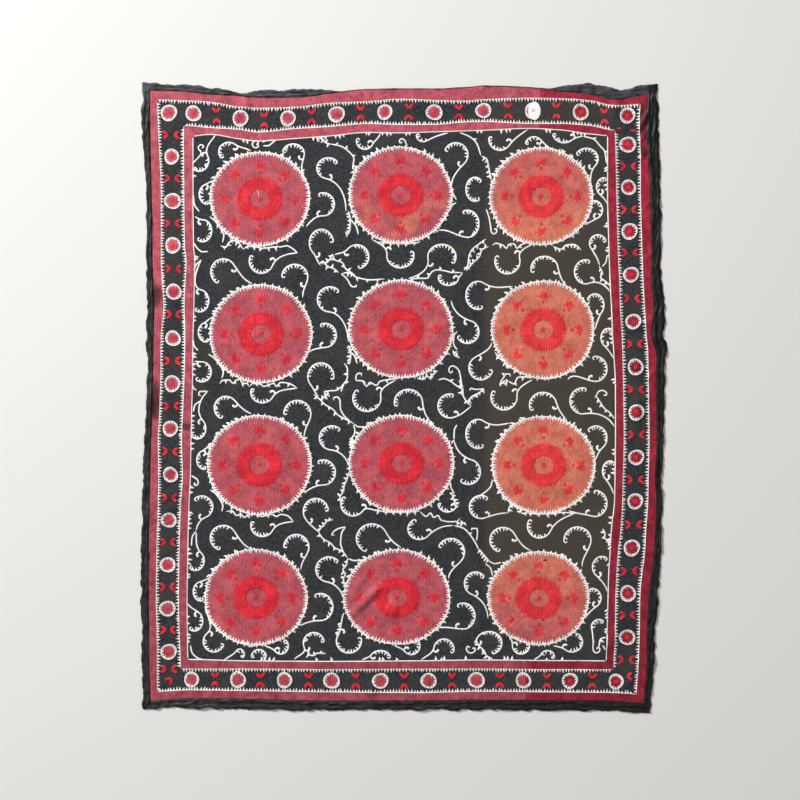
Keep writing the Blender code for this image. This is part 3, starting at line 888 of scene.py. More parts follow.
# Scrolls, one row a hook, in chart squares: middle x, y, half width, half height, then the angle
# of its curled end and how far it sweeps, anticlockwise in degrees, then the point where its
# stem ends, if it has one, and the heading it arrives there with
hooks = [
    (229, 152, 10, 9.5, 215, -165, 251.5, 151.5, -35), (293.5, 154, 11, 9.8, 160, -175, 304, 176, -60),
    (207.5, 194.5, 8, 10, 265, -155, 213.5, 180.5, 30), (203, 231, 9, 11, 245, 205, 194.5, 216.5, 150),
    (199.5, 161, 9.5, 10.5, 245, 145, 216, 134.8, 55), (328.5, 168.5, 11.5, 10.5, 43, 215, 346, 212, -92),
    (323.5, 204.5, 11, 11.5, 108, -200, 306, 227, 230), (321.5, 243, 12, 13.5, 10, 215, 321, 266, -50),
    (261.5, 261, 12, 12.5, 162, 175, 298, 253, 5), (365, 141, 8.5, 8.5, 175, 160, 380.5, 133, 80),
    (402, 141.5, 2.5, 2.5, 200, -150, 407.5, 146.5, -50),
    (423.5, 135.5, 7, 6.3, 185, 120, 448, 133.2, 12), (456, 155, 12, 12, 150, -195, 451.7, 188, -86),
    (467.5, 224, 11.5, 13.5, 105, -205, 438, 230.5, 190), (357, 257, 12, 12, 288, 212, 334, 255, 200),
    (400.5, 256, 13.5, 12, 15, -200, 372, 239.5, 150), (442, 257, 14, 12.5, -25, 215, 408, 278.5, 190),
    (500, 139.5, 11, 11, 175, 150, 528, 129.5, 35), (534, 146, 9, 9, 155, -115, 556, 152, -25),
    (564, 131, 12, 12, 205, 100, 583, 136.5, 5), (586.5, 159, 11.5, 10.5, 145, -185, 590.5, 187, -90),
    (604, 187, 7.5, 9, 85, 150, 607, 204, -70), (594.5, 210, 8, 9, 95, -165, 584.5, 225, 205),
    (598, 243.5, 8.5, 8.5, 25, 190, 599.5, 266, -80), (494, 230, 3, 4, 340, -160, 486, 209, 115),
    (507.5, 261.5, 12.5, 12.5, 160, 215, 535, 243, 30),
    (544.5, 269, 13.5, 12.5, 190, -180, 564.5, 284, -55), (585.5, 272, 11, 12, 75, 215, 610, 292, -60),
    (200, 301, 9, 11, 250, 190, 201.5, 259.5, 65), (223.5, 272, 12.5, 13, 235, -200, 253, 284, -20),
    (295, 277, 13, 12.5, 175, -195, 303, 298, -85), (330, 299.5, 12.5, 12.5, 50, 215, 348.3, 341, -88),
    (325, 335.5, 11.5, 12, 105, -190, 306, 354, 220), (321, 376.5, 13, 13.5, -5, 225, 319, 397, -45),
    (206, 332.5, 7.5, 9.5, 280, -170, 211, 318, 40), (202, 372, 9.5, 10, 240, 210, 194, 361.5, 180),
    (262.5, 392.5, 11.5, 10.5, 168, 165, 297.5, 388, 12), (448.5, 278, 10, 7.5, 170, 180, 463, 273, 50),
    (467.5, 332, 11.5, 11.5, 215, 220, 451, 300, 100), (478, 295.5, 12, 14, 285, -225, 513, 286.5, 5),
    (367, 398.5, 14, 13, 145, 225, 396, 380, 30), (408.5, 402.5, 14, 13, 190, -185, 431, 422, -45),
    (450, 406, 12, 12, 80, 210, 471.5, 406, 40), (452.5, 370, 3.5, 4, 215, -150, 463, 388, -65),
    (481, 368, 12, 12, -20, -220, 492, 342, 80), (595, 305, 9, 11, 140, -180, 594.5, 330, 250),
    (608.5, 338, 7.5, 9.5, 70, 165, 614, 359, -60), (595.5, 369, 11.5, 12.5, 95, -195, 567.5, 380, 238),
    (504, 397.5, 13, 12.5, 155, 210, 533, 379.5, 30), (543, 405, 13.5, 12.5, 200, -185, 566, 419, -45),
    (582.5, 401, 12.5, 13, 80, 200, 614.5, 427, -62), (602, 395, 5, 4.5, 20, 150, 594.5, 398, 230),
    (197.5, 428.5, 8.5, 10.5, 240, 170, 208, 391.3, 42), (226, 408, 11.5, 11.5, 240, -200, 252, 414, -20),
    (297.5, 414, 13.5, 13.5, 175, -195, 304.5, 438, -85), (332, 438, 12.5, 12, 55, 210, 349, 466, -75),
    (323.5, 472.5, 12, 12.5, 110, -200, 304, 493, 215), (316, 511.5, 12.5, 13, 10, 205, 318.5, 532, -48),
    (205, 460, 8, 9.5, 265, -155, 211.5, 444, 35), (196, 482.5, 2.5, 3, 260, 130, 191.5, 475, 120),
    (202, 507, 11, 11, 125, -195, 196, 531, 255), (262.5, 525.5, 11.5, 11, 168, 165, 294, 521.5, 8),
    (468.5, 472, 12, 12.5, 235, 200, 454, 440, 100), (447.5, 503, 9.5, 9, 195, 130, 458.5, 505.5, 60),
    (353, 504, 12, 12, 150, 175, 380, 511, 0), (372, 538.5, 15.5, 14.5, 240, -215, 402, 548, -30),
    (419.5, 529, 11.5, 10.5, 120, 200, 454, 525.5, 0), (478, 434, 12, 14.5, 290, -230, 511, 423, 10),
    (481, 507, 11.5, 11.5, 60, 230, 508, 513, 0), (596, 438, 11, 12, 130, -180, 595, 461, 250),
    (610, 471, 7.5, 10, 60, 170, 613.5, 494, -75), (595, 503.5, 12, 13, 85, -190, 568, 510.5, 160),
    (539.5, 526, 12, 12, 155, 180, 575, 513.5, 20), (577.5, 540, 13.5, 13, 185, -205, 582, 567, -90),
    (503, 540, 13, 12.5, 245, -215, 531, 550.5, -20), (223.5, 538, 13, 12.5, 245, -215, 252, 549, -20),
    (195.5, 560.5, 9, 10, 240, 170, 196.5, 532, 90), (296.5, 547, 12.5, 12.5, 175, -200, 301, 570, -90),
    (329, 569.5, 13, 12.5, 50, 210, 344, 599, -75), (320.5, 607, 12.5, 13.5, 110, -200, 300, 626, 210),
    (314, 643, 10.5, 10.5, 15, 190, 294, 659.5, 225), (201, 591.5, 7.5, 9.5, 275, -170, 210, 577.5, 35),
    (194.5, 621, 8.5, 10, 245, 175, 187.5, 603, 120), (214, 641.5, 10.5, 10.5, 335, -205, 205, 608, 110),
    (240, 654.5, 4.5, 5.5, -20, 160, 224, 660, 215), (281, 646, 7.5, 8, 40, -180, 264, 645, 150),
    (349, 641, 12.5, 12, 10, -220, 344.5, 612, 62), (380.5, 659, 10.5, 8.5, 20, 130, 362, 660, 210),
    (411.5, 646, 8.5, 8.5, 25, -165, 394, 645, 150), (444, 649, 10, 10, -15, 185, 421, 660, 220),
    (451, 552, 13.5, 13.5, 150, -195, 448.5, 579, -95), (475.5, 583.5, 11, 11.5, 45, 205, 488, 619, -90),
    (463.5, 616, 11.5, 13, 115, -210, 437, 628, 190), (471, 648.5, 4.5, 4.5, -20, -170, None, None, None),
    (489, 643, 13, 11.5, 295, 225, 478, 646, -60), (521, 645.5, 8.5, 8.5, -5, -180, 505.5, 631, 120),
    (547.5, 657, 7, 6.5, 5, 150, 534, 660, 225), (572, 642, 10.5, 10, 50, -180, 553, 645.5, 165),
    (599, 627, 7.5, 7.5, 65, 130, 593.5, 645, -85), (596.5, 649.5, 3.2, 3.2, 20, -190, 593.5, 640, 95),
    (602, 567, 9.5, 10.5, 65, 165, 607.5, 592, -75), (592.5, 598, 8.5, 9.5, 100, -160, 585, 618, 235),
    (475, 189.5, 9, 12, 55, 235, None, None, None), (259, 657, 7.5, 7.5, 170, -160, None, None, None),
    (256, 144.5, 3.5, 3.5, 60, 240, None, None, None), (201.5, 148, 3, 3, 60, 180, 192, 165, 240),
]

# Vines, in chart squares: points that each runs through, how many thorns, and where they point
vines = [
    ([(262, 142.5), (268, 140.5), (275, 140)], 0, "up"),
    ([(263, 146), (268, 146), (272, 143.5), (277, 139)], 0, "up"),
    ([(193.5, 195), (194.5, 204), (199.5, 212)], 0, "up"),
    ([(194, 243), (198, 249), (203, 252), (208.6, 251.6)], 0, "up"),
    ([(194, 271), (196, 265.5), (201.5, 260)], 0, "up"),
    ([(316, 138), (322, 139), (326, 143), (331, 144.5)], 5, "both"),
    ([(330, 144), (341, 146.5), (348, 151), (354, 159), (353, 168), (356, 172)], 4, "right"),
    ([(459.5, 132.7), (470, 137), (477, 144), (481, 156)], 1, "right"),
    ([(481, 156), (487, 159.5), (489, 169), (491.5, 181)], 5, "left"),
    ([(451.5, 186), (453, 193), (456.5, 200)], 0, "up"),
    ([(456.5, 202.5), (452, 206), (450, 211)], 0, "up"),
    ([(583, 136.5), (593, 139), (600, 146), (605, 152.5), (606.5, 164)], 2, "right"),
    ([(209.5, 216.5), (215.5, 221.5), (221, 229), (224, 236), (222.5, 243)], 0, "up"),
    ([(220.5, 246), (226, 247.3), (228.5, 243.5), (233, 240.5), (239, 243), (243, 249.5)], 5, "down"),
    ([(243, 249.5), (249, 246.5), (256, 247), (263, 248.5), (271, 247.5), (281, 246.5)], 5, "down"),
    ([(279, 247.5), (287, 246), (293, 249), (298, 253.5)], 0, "up"),
    ([(348.3, 211), (350.5, 220), (350, 230), (346, 237.5)], 7, "left"),
    ([(350.5, 219.5), (356.5, 227), (358.5, 235)], 0, "up"),
    ([(378, 242), (392, 243.5), (405, 243.8), (420, 242.5)], 5, "down"),
    ([(332.5, 254), (335, 260), (342, 262.5), (346, 269), (353, 274), (357, 278)], 5, "both"),
    ([(319, 264.5), (323, 261.5), (327, 266), (334, 269), (339, 273)], 5, "both"),
    ([(326, 264), (331, 258), (332.5, 254)], 2, "left"),
    ([(341.4, 274), (347.7, 272.7), (357, 277.5), (370.5, 280), (385, 279)], 4, "down"),
    ([(341, 273.5), (347, 279), (353, 287), (356.5, 286.5), (356, 284)], 0, "up"),
    ([(409, 279.3), (420, 278.5), (427, 278.5), (432, 272), (437, 270), (445, 271), (453, 272.7),
      (463, 272.7)], 4, "up"),
    ([(486, 239), (478, 245), (472, 250), (469, 257), (468, 265), (463.5, 270.5)], 6, "right"),
    ([(489, 246.5), (482, 250), (480, 256), (473, 263), (466, 271)], 7, "left"),
    ([(492, 245.5), (496, 243.5), (503, 245.5), (506.5, 248.5), (509, 244.5), (514, 244),
      (517, 248.5), (521, 245), (528, 242.5)], 3, "down"),
    ([(553, 246.5), (561, 249.5), (566, 245.5), (573, 244.5), (578, 247), (581, 250.5)], 7, "down"),
    ([(607, 256), (606, 262), (602, 267)], 0, "up"),
    ([(599, 266), (602.5, 274), (600.5, 277), (606, 282), (610, 286)], 4, "left"),
    ([(208, 354), (213.5, 357.5), (219.5, 364.5), (223.5, 372), (222, 379)], 0, "up"),
    ([(219.5, 384), (223, 380.5), (229, 380), (233.5, 383.5), (236, 380.5), (240, 379.5),
      (243, 383.5), (247, 383.5), (249.5, 387)], 3, "down"),
    ([(249.5, 387), (253, 383.5), (260, 384), (264, 386.5), (270, 384.5), (274, 383.5),
      (276.5, 386.5), (281, 382.5), (289, 383.5), (297.3, 388)], 4, "down"),
    ([(193.2, 340), (194.5, 346), (198.6, 351)], 0, "up"),
    ([(192.3, 384.5), (194, 388.5), (197, 390.5)], 0, "up"),
    ([(208, 391.3), (203.5, 391.5), (199.5, 392), (199, 395), (201.5, 396)], 0, "up"),
    ([(193.5, 412), (195, 405.5), (200.5, 401)], 0, "up"),
    ([(348.5, 345), (351, 352), (350.5, 359), (349.5, 365)], 6, "left"),
    ([(351, 352), (355, 357), (357.5, 364)], 0, "up"),
    ([(344, 363), (347.5, 369), (347.5, 377), (343, 385), (336, 390.5), (327, 391)], 2, "left"),
    ([(344, 384), (341, 392)], 0, "up"),
    ([(349, 381), (345, 384)], 0, "up"),
    ([(329, 390), (327, 395), (323, 398.5), (319.5, 400)], 6, "both"),
    ([(313.5, 394), (320, 399.5), (325, 404.5), (333, 409.5), (338, 415), (350, 421.5),
      (354.5, 424)], 6, "down"),
    ([(334.5, 401), (333.5, 398.5), (337, 397), (340, 400), (340.5, 408), (344, 415.5),
      (351, 422)], 0, "up"),
    ([(361.5, 376.5), (361.5, 373.5), (358.5, 373.5), (356, 377), (356.5, 380.5), (363, 381),
      (366, 384)], 0, "up"),
    ([(362, 381), (367, 386.3), (370, 382.5), (376.5, 385.5), (380, 381.5), (390, 379.5),
      (400, 378.5)], 2, "down"),
    ([(417, 378.5), (424, 379.5), (427, 376), (431, 379), (433.5, 374.5), (438, 370.5)], 6, "up"),
    ([(438, 380), (444, 378.8), (450, 381), (457, 386), (462, 388.5)], 1, "up"),
    ([(459, 380), (462.5, 388), (463.5, 396), (467, 402), (471.4, 406)], 3, "left"),
    ([(462.5, 385), (462, 396)], 2, "left"),
    ([(457.5, 331.3), (454, 336), (453.5, 343), (457.5, 350.5)], 0, "up"),
    ([(453, 350), (454.5, 355), (460, 358)], 2, "right"),
    ([(495, 352), (499, 358), (505, 362), (508, 369)], 2, "down"),
    ([(510.5, 377), (509.5, 374), (506.5, 374), (503.5, 378), (500, 382.5)], 1, "left"),
    ([(500, 382.5), (505, 383.5), (508.5, 381)], 4, "both"),
    ([(508, 381), (514, 384), (518, 377.5), (524, 377), (532, 378)], 2, "down"),
    ([(484.5, 389), (476, 389.5), (471, 388.5), (469.5, 391)], 0, "up"),
    ([(484.5, 389), (478, 393.5), (473, 396), (467, 402)], 6, "down"),
    ([(596, 396), (600, 402), (604, 408), (610, 413), (614.5, 419)], 4, "left"),
    ([(210, 489.5), (215.5, 493.5), (220.5, 500), (223, 506), (222, 512)], 0, "up"),
    ([(226, 511.3), (232, 511), (237, 515.5), (241, 514), (244.5, 517.5), (249, 514.5), (256, 514.5),
      (262, 516.5), (268, 515), (275, 514)], 5, "down"),
    ([(272, 514), (276.5, 516.5), (281, 514.5), (287, 515.5), (293.6, 521.4)], 0, "up"),
    ([(191.5, 546), (192.5, 537), (196.3, 531)], 0, "up"),
    ([(354, 424), (359, 427), (366, 427), (374, 422)], 0, "up"),
    ([(353.5, 424.5), (355, 431), (352.5, 437.5), (349, 439.5)], 0, "up"),
    ([(352, 438), (353.5, 441.5), (351, 448)], 4, "left"),
    ([(457, 424.5), (454.3, 431), (454, 440)], 0, "up"),
    ([(454, 440), (451, 444)], 0, "up"),
    ([(450, 480), (451, 487), (454.5, 494)], 0, "up"),
    ([(452.5, 493), (453.5, 499), (457.5, 505)], 6, "both"),
    ([(420, 511.5), (426.5, 516.5), (430.5, 513), (434, 517.5), (438, 515.5), (441, 520),
      (450, 521.8), (457, 521.5), (460, 518)], 0, "up"),
    ([(454, 525.7), (463, 528), (469.5, 534), (475.5, 543), (479, 550)], 1, "right"),
    ([(457, 521.5), (458, 526)], 1, "right"),
    ([(460, 528), (461.5, 524.5), (464.5, 523), (466, 526)], 1, "up"),
    ([(472, 531), (471.5, 528.5), (477, 528.5), (477.5, 533), (476.5, 541)], 0, "up"),
    ([(479, 549), (484, 555), (490, 562)], 5, "left"),
    ([(485, 563.5), (490.5, 568), (492.7, 576)], 0, "up"),
    ([(489, 561), (495, 563.7), (501.5, 562.3)], 0, "up"),
    ([(349, 472), (347.3, 479), (344.5, 485), (343.5, 491), (340, 498), (341, 503)], 7, "left"),
    ([(333.5, 519.5), (327, 521.3), (324.5, 525), (320.5, 528.5), (318.5, 533)], 5, "left"),
    ([(318.5, 532), (323, 538.5), (331, 543.5), (335, 548), (342, 551), (347.7, 558)], 6, "down"),
    ([(346, 526.8), (339, 528.5), (333, 532.5), (332, 535), (335, 535)], 0, "up"),
    ([(345.5, 527), (341.5, 534), (340.8, 543), (343, 551), (347.7, 558)], 0, "up"),
    ([(374, 509.5), (388, 512), (404, 512.3), (420, 511)], 6, "down"),
    ([(508, 513.5), (509.5, 507), (514, 505), (519, 507), (522.5, 513.5), (528, 512.5)], 6, "down"),
    ([(526, 513), (537, 513.8), (550, 514), (562, 512.5), (577, 513.5)], 6, "down"),
    ([(474, 498.5), (484, 493), (491, 486), (492.5, 479)], 0, "up"),
    ([(602.5, 528.5), (605, 534), (604.5, 538), (609.5, 541), (611, 549)], 4, "left"),
    ([(348, 558.5), (354, 560.5), (363, 560), (370, 556.5)], 0, "up"),
    ([(347.7, 558), (346.5, 565), (343, 570), (345.5, 574), (343.5, 578.5), (345, 587)], 5, "left"),
    ([(341, 622), (340.5, 629), (338, 637)], 5, "left"),
    ([(190.5, 645), (192, 652), (198, 658), (204, 660)], 0, "up"),
    ([(240, 641), (246, 643), (250, 646.5), (258, 645), (268, 644.5)], 0, "up"),
    ([(306, 658), (309, 655), (313, 655.5), (318, 653), (326, 653.5)], 3, "up"),
    ([(476, 638), (477.5, 644), (484, 650.5), (487, 656), (493, 659)], 7, "left"),
    ([(598.6, 647.3), (600.5, 639), (606, 637)], 1, "right"),
    ([(602.5, 645), (605.5, 650)], 0, "up"),
]

# Thorn clusters along the edge of the field, in chart squares: from, to
fieldThorns = {
    "top": [(241, 250), (312, 328), (334, 345), (364, 372), (381, 392), (405, 412), (476, 484),
            (500, 513), (545, 552), (572, 587)],
    "left": [(168, 178), (255, 262), (314, 322), (352, 358), (363, 376), (415, 435), (442, 452),
             (485, 495), (510, 530), (548, 566), (572, 580), (615, 625), (632, 645)],
    "right": [(166, 172), (184, 192), (220, 230), (245, 258), (317, 322), (333, 345), (377, 385),
              (449, 456), (468, 476), (515, 525), (533, 550), (563, 566), (608, 620), (627, 635)],
    "bottom": [(260, 275), (316, 320), (331, 335), (378, 386), (396, 400), (435, 447), (463, 468),
               (503, 514), (545, 548), (561, 564)],
}

# How the scrolls are stitched, in metres
scroll = {
    "half": 0.0028, "tooth": 0.0125, "toothWidth": 0.0110, "pitch": 0.0150, "curl": 0.0062,
    "bud": 0.0092, "thorn": 0.0150, "thornWidth": 0.0135, "fieldThorn": 0.0165, "fieldWidth": 0.0135,
}


def arc(middle, across, up, fromAngle, sweep, step=0.004):
    length = abs(math.radians(sweep)) * (across + up) / 2
    count = max(6, round(length / step))
    angles = np.radians(fromAngle + sweep * np.linspace(0, 1, count))
    return middle + np.column_stack([across * np.cos(angles), up * np.sin(angles)])


def easyCurve(start, startTurn, end, endTurn, step=0.005, pull=1.15):
    # leaves start and reaches end with the given headings
    reach = np.linalg.norm(np.subtract(end, start))
    t = np.linspace(0, 1, max(5, round(reach / step)))[:, None]
    leave = np.array([math.cos(startTurn), math.sin(startTurn)]) * reach * pull
    arrive = np.array([math.cos(endTurn), math.sin(endTurn)]) * reach * pull
    return (
        (2 * t**3 - 3 * t**2 + 1) * start + (t**3 - 2 * t**2 + t) * leave
        + (3 * t**2 - 2 * t**3) * end + (t**3 - t**2) * arrive
    )


def makeHook(bm, row, rng):
    x, y, halfWidth, halfHeight, freeAngle, sweep, toX, toY, heading = row
    square = chart["square"]
    middle = toCloth((x, y))
    across, up = halfWidth * square, halfHeight * square
    bow = arc(middle, across, up, freeAngle, sweep)
    sign = 1 if sweep > 0 else -1
    size = (across + up) / 2
    curl = min(scroll["curl"], size * 0.45)
    inwards = (middle - bow[0]) / np.linalg.norm(middle - bow[0])
    curlMiddle = bow[0] + inwards * curl
    back = math.degrees(math.atan2(-inwards[1], -inwards[0]))
    tip = arc(curlMiddle, curl, curl, back - sign * 175, sign * 175, 0.0022)
    points = [tip[:-1], bow]
    if toX is not None:
        leave = bow[-1] - bow[-2]
        leaveTurn = math.atan2(leave[1], leave[0])
        stem = easyCurve(bow[-1], leaveTurn, toCloth((toX, toY)), math.radians(heading))
        points.append(stem[1:])
    else:
        inwards = (middle - bow[-1]) / np.linalg.norm(middle - bow[-1])
        curlMiddle = bow[-1] + inwards * curl
        back = math.degrees(math.atan2(-inwards[1], -inwards[0]))
        points.append(arc(curlMiddle, curl, curl, back, sign * 175, 0.0022)[1:])
    points = np.concatenate(points)
    strand(bm, points, tapered(len(points), scroll["half"], 0.03, 0.04))
    if size < 0.02:
        return
    budded = size > 0.030 and toX is not None
    toothed = 0.82 if budded else 0.94
    many = round(abs(math.radians(sweep)) * size * toothed / scroll["pitch"])
    for i in range(many):
        share = 0.08 + (toothed - 0.08) * (i + rng.uniform(-0.15, 0.15)) / max(1, many - 1)
        angle = math.radians(freeAngle + sweep * share)
        px, py = middle + np.array([across * math.cos(angle), up * math.sin(angle)])
        turn = math.atan2(middle[1] - py, middle[0] - px) + sign * rng.uniform(0.0, 0.5)
        length = scroll["tooth"] * rng.uniform(0.8, 1.25) + scroll["half"]
        tooth(bm, px, py, turn, length, scroll["toothWidth"])
    if budded:
        # the small bud that curls on past the bow's end, thickest at its tip
        k = min(len(tip) + len(bow) - 2 + round((size - 0.036) / 0.005), len(points) - 2)
        root, reach = points[k], scroll["bud"]
        ahead = (points[k + 1] - points[k - 1]) / np.linalg.norm(points[k + 1] - points[k - 1])
        inwards = sign * np.array([-ahead[1], ahead[0]])
        back = math.degrees(math.atan2(-inwards[1], -inwards[0]))
        bud = arc(root + inwards * reach, reach, reach, back, sign * 215, 0.0022)
        strand(bm, bud, tapered(len(bud), scroll["half"] * np.linspace(0.8, 1.9, len(bud)), 0.1, 0.15))


def smoothThrough(points, step=0.004):
    # a smooth run through a few points
    points = toCloth(points)
    lengths = np.concatenate([[0], np.cumsum(np.linalg.norm(np.diff(points, axis=0), axis=1))])
    t = np.linspace(0, lengths[-1], max(6, round(lengths[-1] / step)))
    trend = np.interp if len(points) < 3 else lambda t, places, values: along(places, values, t)
    return np.column_stack([trend(t, lengths, points[:, k]) for k in (0, 1)])


directions = {"up": (0, 1), "down": (0, -1), "left": (-1, 0), "right": (1, 0)}


def makeScrolls():
    rng = random.Random(7)
    bm = bmesh.new()
    for row in hooks:
        makeHook(bm, row, rng)
    scrolls = finishPiece("scrolls", bm, silkWhite)
    bm = bmesh.new()
    for points, thorns, pointing in vines:
        path = smoothThrough(points)
        strand(bm, path, tapered(len(path), scroll["half"], 0.1, 0.1))
        tangent = np.gradient(path, axis=0)
        for i in range(thorns):
            at = round((i + 0.7) / (thorns + 0.4) * (len(path) - 1))
            ahead = tangent[at] / np.linalg.norm(tangent[at])
            aside = np.array([-ahead[1], ahead[0]])
            if pointing == "both":
                aside = aside if i % 2 else -aside
            elif np.dot(aside, directions[pointing]) < 0:
                aside = -aside
            turn = math.atan2(aside[1], aside[0]) + rng.uniform(-0.35, 0.35)
            length = scroll["thorn"] * rng.uniform(0.75, 1.25)
            thorn(bm, *path[at], turn, length, scroll["thornWidth"], rng.uniform(-0.5, 0.5))
    inwards = {"left": 0, "right": math.pi, "top": -math.pi / 2, "bottom": math.pi / 2}
    for side, clusters in fieldThorns.items():
        for low, high in clusters:
            many = max(1, round((high - low) / 4))
            for i in range(many):
                place = low + (high - low) * (i + rng.uniform(0.3, 0.7)) / many
                if side in ("left", "right"):
                    y = (chart["middleY"] - place) * chart["square"]
                    x = lineAt(side, fieldLine, y)[0]
                else:
                    x = (place - chart["middleX"]) * chart["square"]
                    y = lineAt(side, fieldLine, x)[0]
                turn = inwards[side] + rng.uniform(-0.3, 0.3)
                length = scroll["fieldThorn"] * rng.uniform(0.7, 1.3)
                thorn(bm, x, y, turn, length, scroll["fieldWidth"], rng.uniform(-0.4, 0.4))
    return [scrolls, finishPiece("vines", bm, silkWhite)]


# The border's roundels, as places along each side in chart squares, and those at the corners
roundels = {
    "top": [193.5, 240.5, 288, 336.6, 384.8, 434.2, 483.4, 532.3, 580.5],
    "left": [156.8, 201.2, 245.4, 291.9, 338.4, 383.7, 428.6, 474.7, 520.1, 564.7, 608.5, 651.6],
    "right": [144.8, 187.5, 231.4, 274.7, 321.5, 367, 412.4, 457.3, 501.2, 547.8, 593.4, 637.2],
    "bottom": [191.7, 238, 284.5, 331.6, 380.4, 428.6, 476.4, 523.3, 569.7],
    "corners": [(169, 113), (627.3, 115.7), (615.8, 681.4)],
    "before": {"left": 113, "right": 115.7},
    "after": {"top": 627.3, "bottom": 615.8, "left": 686.4, "right": 682.8},
    "mendedAt": 532.3,
}
roundel = {
    "radius": 0.0295, "rimHalf": 0.0018, "top": 0.0013, "dot": 0.0070,
    "teeth": 24, "tooth": 0.0095, "toothWidth": 0.0066,
}

# Chevrons between the roundels, and odd ones in the corners as x, y, where they point
chevron = {
    "reach": 0.0250, "width": 0.0118, "spread": 0.66, "inset": 0.26,
    "odd": [(627, 676, 180), (171.5, 678.5, 45)],
    "dashes": [(616.5, 129), (630.5, 131)],
    "noneAt": 130.3,
}


def bandPlace(side, place, share):
    # a point of the border at a place along a side, share of the way from its outer line in
    if side in ("left", "right"):
        y = (chart["middleY"] - place) * chart["square"]
        outer, inner = lineAt(side, outerLine, y)[0], lineAt(side, innerLine, y)[0]
        return np.array([outer + (inner - outer) * share, y])
    x = (place - chart["middleX"]) * chart["square"]
    outer, inner = lineAt(side, outerLine, x)[0], lineAt(side, innerLine, x)[0]
    return np.array([x, outer + (inner - outer) * share])


def makeChevron(bm, tip, pointing, rng):
    # two broad stitches that meet at the tip
    for turn in (-chevron["spread"], chevron["spread"]):
        heading = pointing + math.pi + turn + rng.uniform(-0.08, 0.08)
        length = chevron["reach"] * rng.uniform(0.9, 1.15)
        petal(bm, *tip, heading, length, chevron["width"], 0.0018, 1.0, 12)


def makeBorder():
    rng = random.Random(23)
    cores, rims, reds = bmesh.new(), bmesh.new(), bmesh.new()
    middles = [(toCloth(place), False) for place in roundels["corners"]]
    for side in frameLines:
        for place in roundels[side]:
            mended = side == "top" and place == roundels["mendedAt"]
            middles.append((bandPlace(side, place, 0.5), mended))
    for middle, mended in middles:
        radius = roundel["radius"] * rng.uniform(0.96, 1.05)
        count = roundel["teeth"] * 2
        angles = np.linspace(0, 2 * math.pi, count, endpoint=False)
        phase = rng.uniform(0, 6.28)
        reach = radius * (1 + 0.04 * np.sin(2 * angles + phase) + 0.03 * np.sin(3 * angles - phase))
        around = np.column_stack([np.cos(angles), np.sin(angles)])
        outline = middle + around * reach[:, None]
        patch(cores, outline, middle, 0.0010, 0.0004, 3)
        half = roundel["rimHalf"]
        reach = reach[:, None]
        hoop(rims, middle + around * (reach + half), middle + around * (reach - half), 0.0017, 1)
        for i in range(roundel["teeth"]):
            angle = 2 * math.pi * (i + rng.uniform(-0.2, 0.2)) / roundel["teeth"]
            x, y = middle + np.array([math.cos(angle), math.sin(angle)]) * radius * 0.97
            length = roundel["tooth"] * rng.uniform(0.7, 1.2)
            turn = angle + math.pi + rng.uniform(-0.2, 0.2)
            tooth(rims, x, y, turn, length, roundel["toothWidth"], roundel["top"])
        if mended:
            # mended with white, all but its left side, round four small red stitches
            spot = middle + np.array([0.008, 0.0])
            patch(rims, spot + around * (0.025, 0.037), spot, 0.0024, 0.0, 3)
            for aside, above in ((-3, 4), (-3, -3), (5, 5), (5, -2)):
                stitch = middle + np.array([aside + 2, above]) * mm
                patch(reds, ragged(stitch, 0.0026, 0.0026, 4, 0.001, rng, 2), stitch, 0.0032, 0, 1)
            continue
        size = roundel["dot"] * rng.uniform(0.8, 1.25)
        patch(reds, ragged(middle, size, size, 9, 0.0055, rng, 2), middle, 0.0022, 0, 1)
    for side in frameLines:
        places = [roundels["before"].get(side), *roundels[side], roundels["after"].get(side)]
        places = [place for place in places if place]
        for low, high in zip(places[:-1], places[1:]):
            middle = (low + high) / 2 + rng.uniform(-0.6, 0.6)
            if side == "right" and abs(middle - chevron["noneAt"]) < 2:
                continue
            for share, away in ((chevron["inset"], 1), (1 - chevron["inset"], -1)):
                spot = bandPlace(side, middle, share)
                target = bandPlace(side, middle, 0.5)
                towards = math.atan2(target[1] - spot[1], target[0] - spot[0])
                tip = spot + np.array([math.cos(towards), math.sin(towards)]) * chevron["reach"] * 0.5
                makeChevron(reds, tip, towards, rng)
    for x, y, pointing in chevron["odd"]:
        makeChevron(reds, toCloth((x, y)), math.radians(pointing), rng)
    for x, y in chevron["dashes"]:
        petal(reds, *toCloth((x, y)), 0.05, 0.020, 0.009, 0.0018, 1.0)
    return [
        finishPiece("roundel_cores", cores, silkBand),
        finishPiece("roundel_rims", rims, silkWhite),
        finishPiece("border_reds", reds, silkRed),
    ]


# Marks of wear, in chart squares: darned spots as x, y, half width, half height, and a loose thread
marks = {
    "darns": [(314.5, 209.5, 2.2, 4.2), (545, 560, 2.0, 0.7), (543, 620, 0.8, 0.8), (333, 470, 0.7, 0.7)],
    "thread": [(256.4, 189.5), (258.3, 192.5), (259.0, 196), (259.2, 199.5)],
}


def makeMarks():
    rng = random.Random(5)
    bm = bmesh.new()
    for x, y, halfWidth, halfHeight in marks["darns"]:
        spot = toCloth((x, y))
        outline = ragged(spot, halfWidth * chart["square"], halfHeight * chart["square"], 6, 0.002, rng, 2)
        patch(bm, outline, spot, 0.0019, 0, 1)
    darns = finishPiece("darns", bm, edgingSatin)
    bm = bmesh.new()
    path = smoothThrough(marks["thread"])
    strand(bm, path, tapered(len(path), 0.0012), 1.8)
    return [darns, finishPiece("loose_thread", bm, silkWhite)]


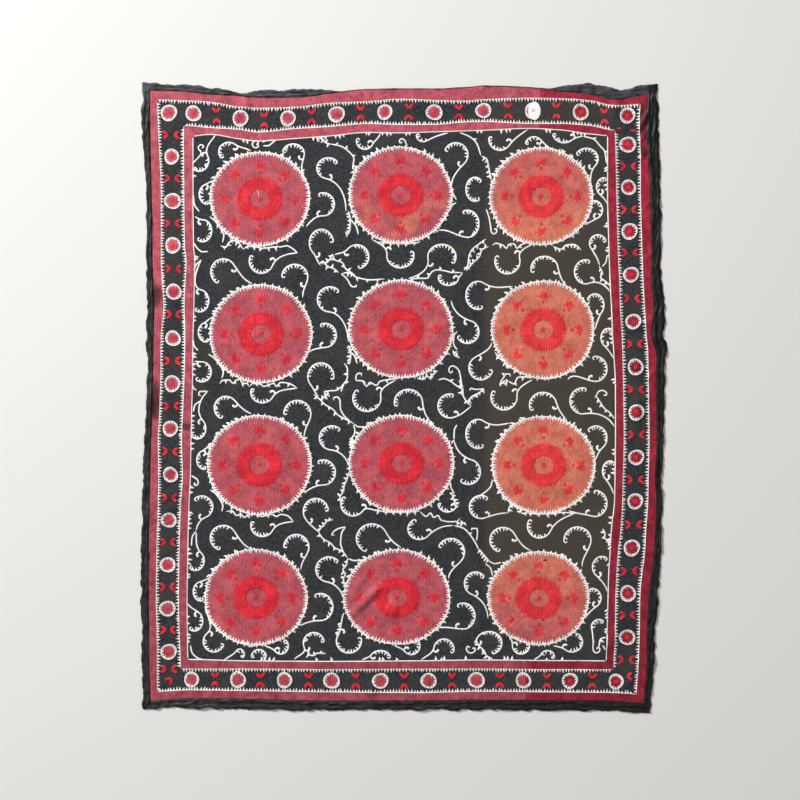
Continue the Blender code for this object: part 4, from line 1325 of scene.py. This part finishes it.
# Soft studio light from the upper left: each lamp's place, size and power
studio = {
    "floor": "#dcdad6", "sky": 0.22,
    "lamps": [("key", (-9.0, 8.2, 7.2), 3.0, 3000), ("fill", (1.5, -1.0, 6.0), 5, 60)],
}


def makeStage():
    bm = bmesh.new()
    bmesh.ops.create_grid(bm, x_segments=2, y_segments=2, size=12)
    mesh = bpy.data.meshes.new("floor")
    bm.to_mesh(mesh)
    bm.free()
    mesh.transform(Matrix.Translation((0, 0, -0.0005)))
    floor = bpy.data.objects.new("floor", mesh)
    material, shader = newMaterial("pale_floor", {"Roughness": 0.9})
    shader.inputs["Base Color"].default_value = linear(studio["floor"])
    mesh.materials.append(material)
    bpy.context.scene.collection.objects.link(floor)

    world = bpy.data.worlds.new("studio")
    world.use_nodes = True
    world.node_tree.nodes["Background"].inputs["Color"].default_value = (1, 1, 1, 1)
    world.node_tree.nodes["Background"].inputs["Strength"].default_value = studio["sky"]
    bpy.context.scene.world = world
    bpy.context.scene.view_settings.view_transform = "Standard"
    for name, place, size, power in studio["lamps"]:
        light = bpy.data.lights.new(name, "AREA")
        light.size = size
        light.energy = power
        lamp = bpy.data.objects.new(name, light)
        lamp.location = place
        lamp.rotation_euler = (-Vector(place)).to_track_quat("-Z", "Y").to_euler()
        bpy.context.scene.collection.objects.link(lamp)


# The camera looks straight down and takes in 3.2 m of floor
camera = {"height": 8.0, "lens": 90, "x": -0.012, "y": -0.008}


def makeCamera():
    data = bpy.data.cameras.new("camera")
    data.lens = camera["lens"]
    data.clip_end = 50
    eye = bpy.data.objects.new("camera", data)
    eye.location = (camera["x"], camera["y"], camera["height"])
    bpy.context.scene.collection.objects.link(eye)
    bpy.context.scene.camera = eye


makeStage()
makeCamera()
panels = makePanels()
print("panels laid")
for side in frameLines:
    makeEdging(side)
print("edging sewn on")
embroidery = [makeBand("outer_band", edgeLine, outerLine), makeBand("inner_band", innerLine, fieldLine)]
embroidery.append(makeFrameLines())
embroidery += makeMedallions()
print("medallions done")
embroidery += makeScrolls()
embroidery += makeBorder()
embroidery += makeMarks()
print("scrolls and border done")
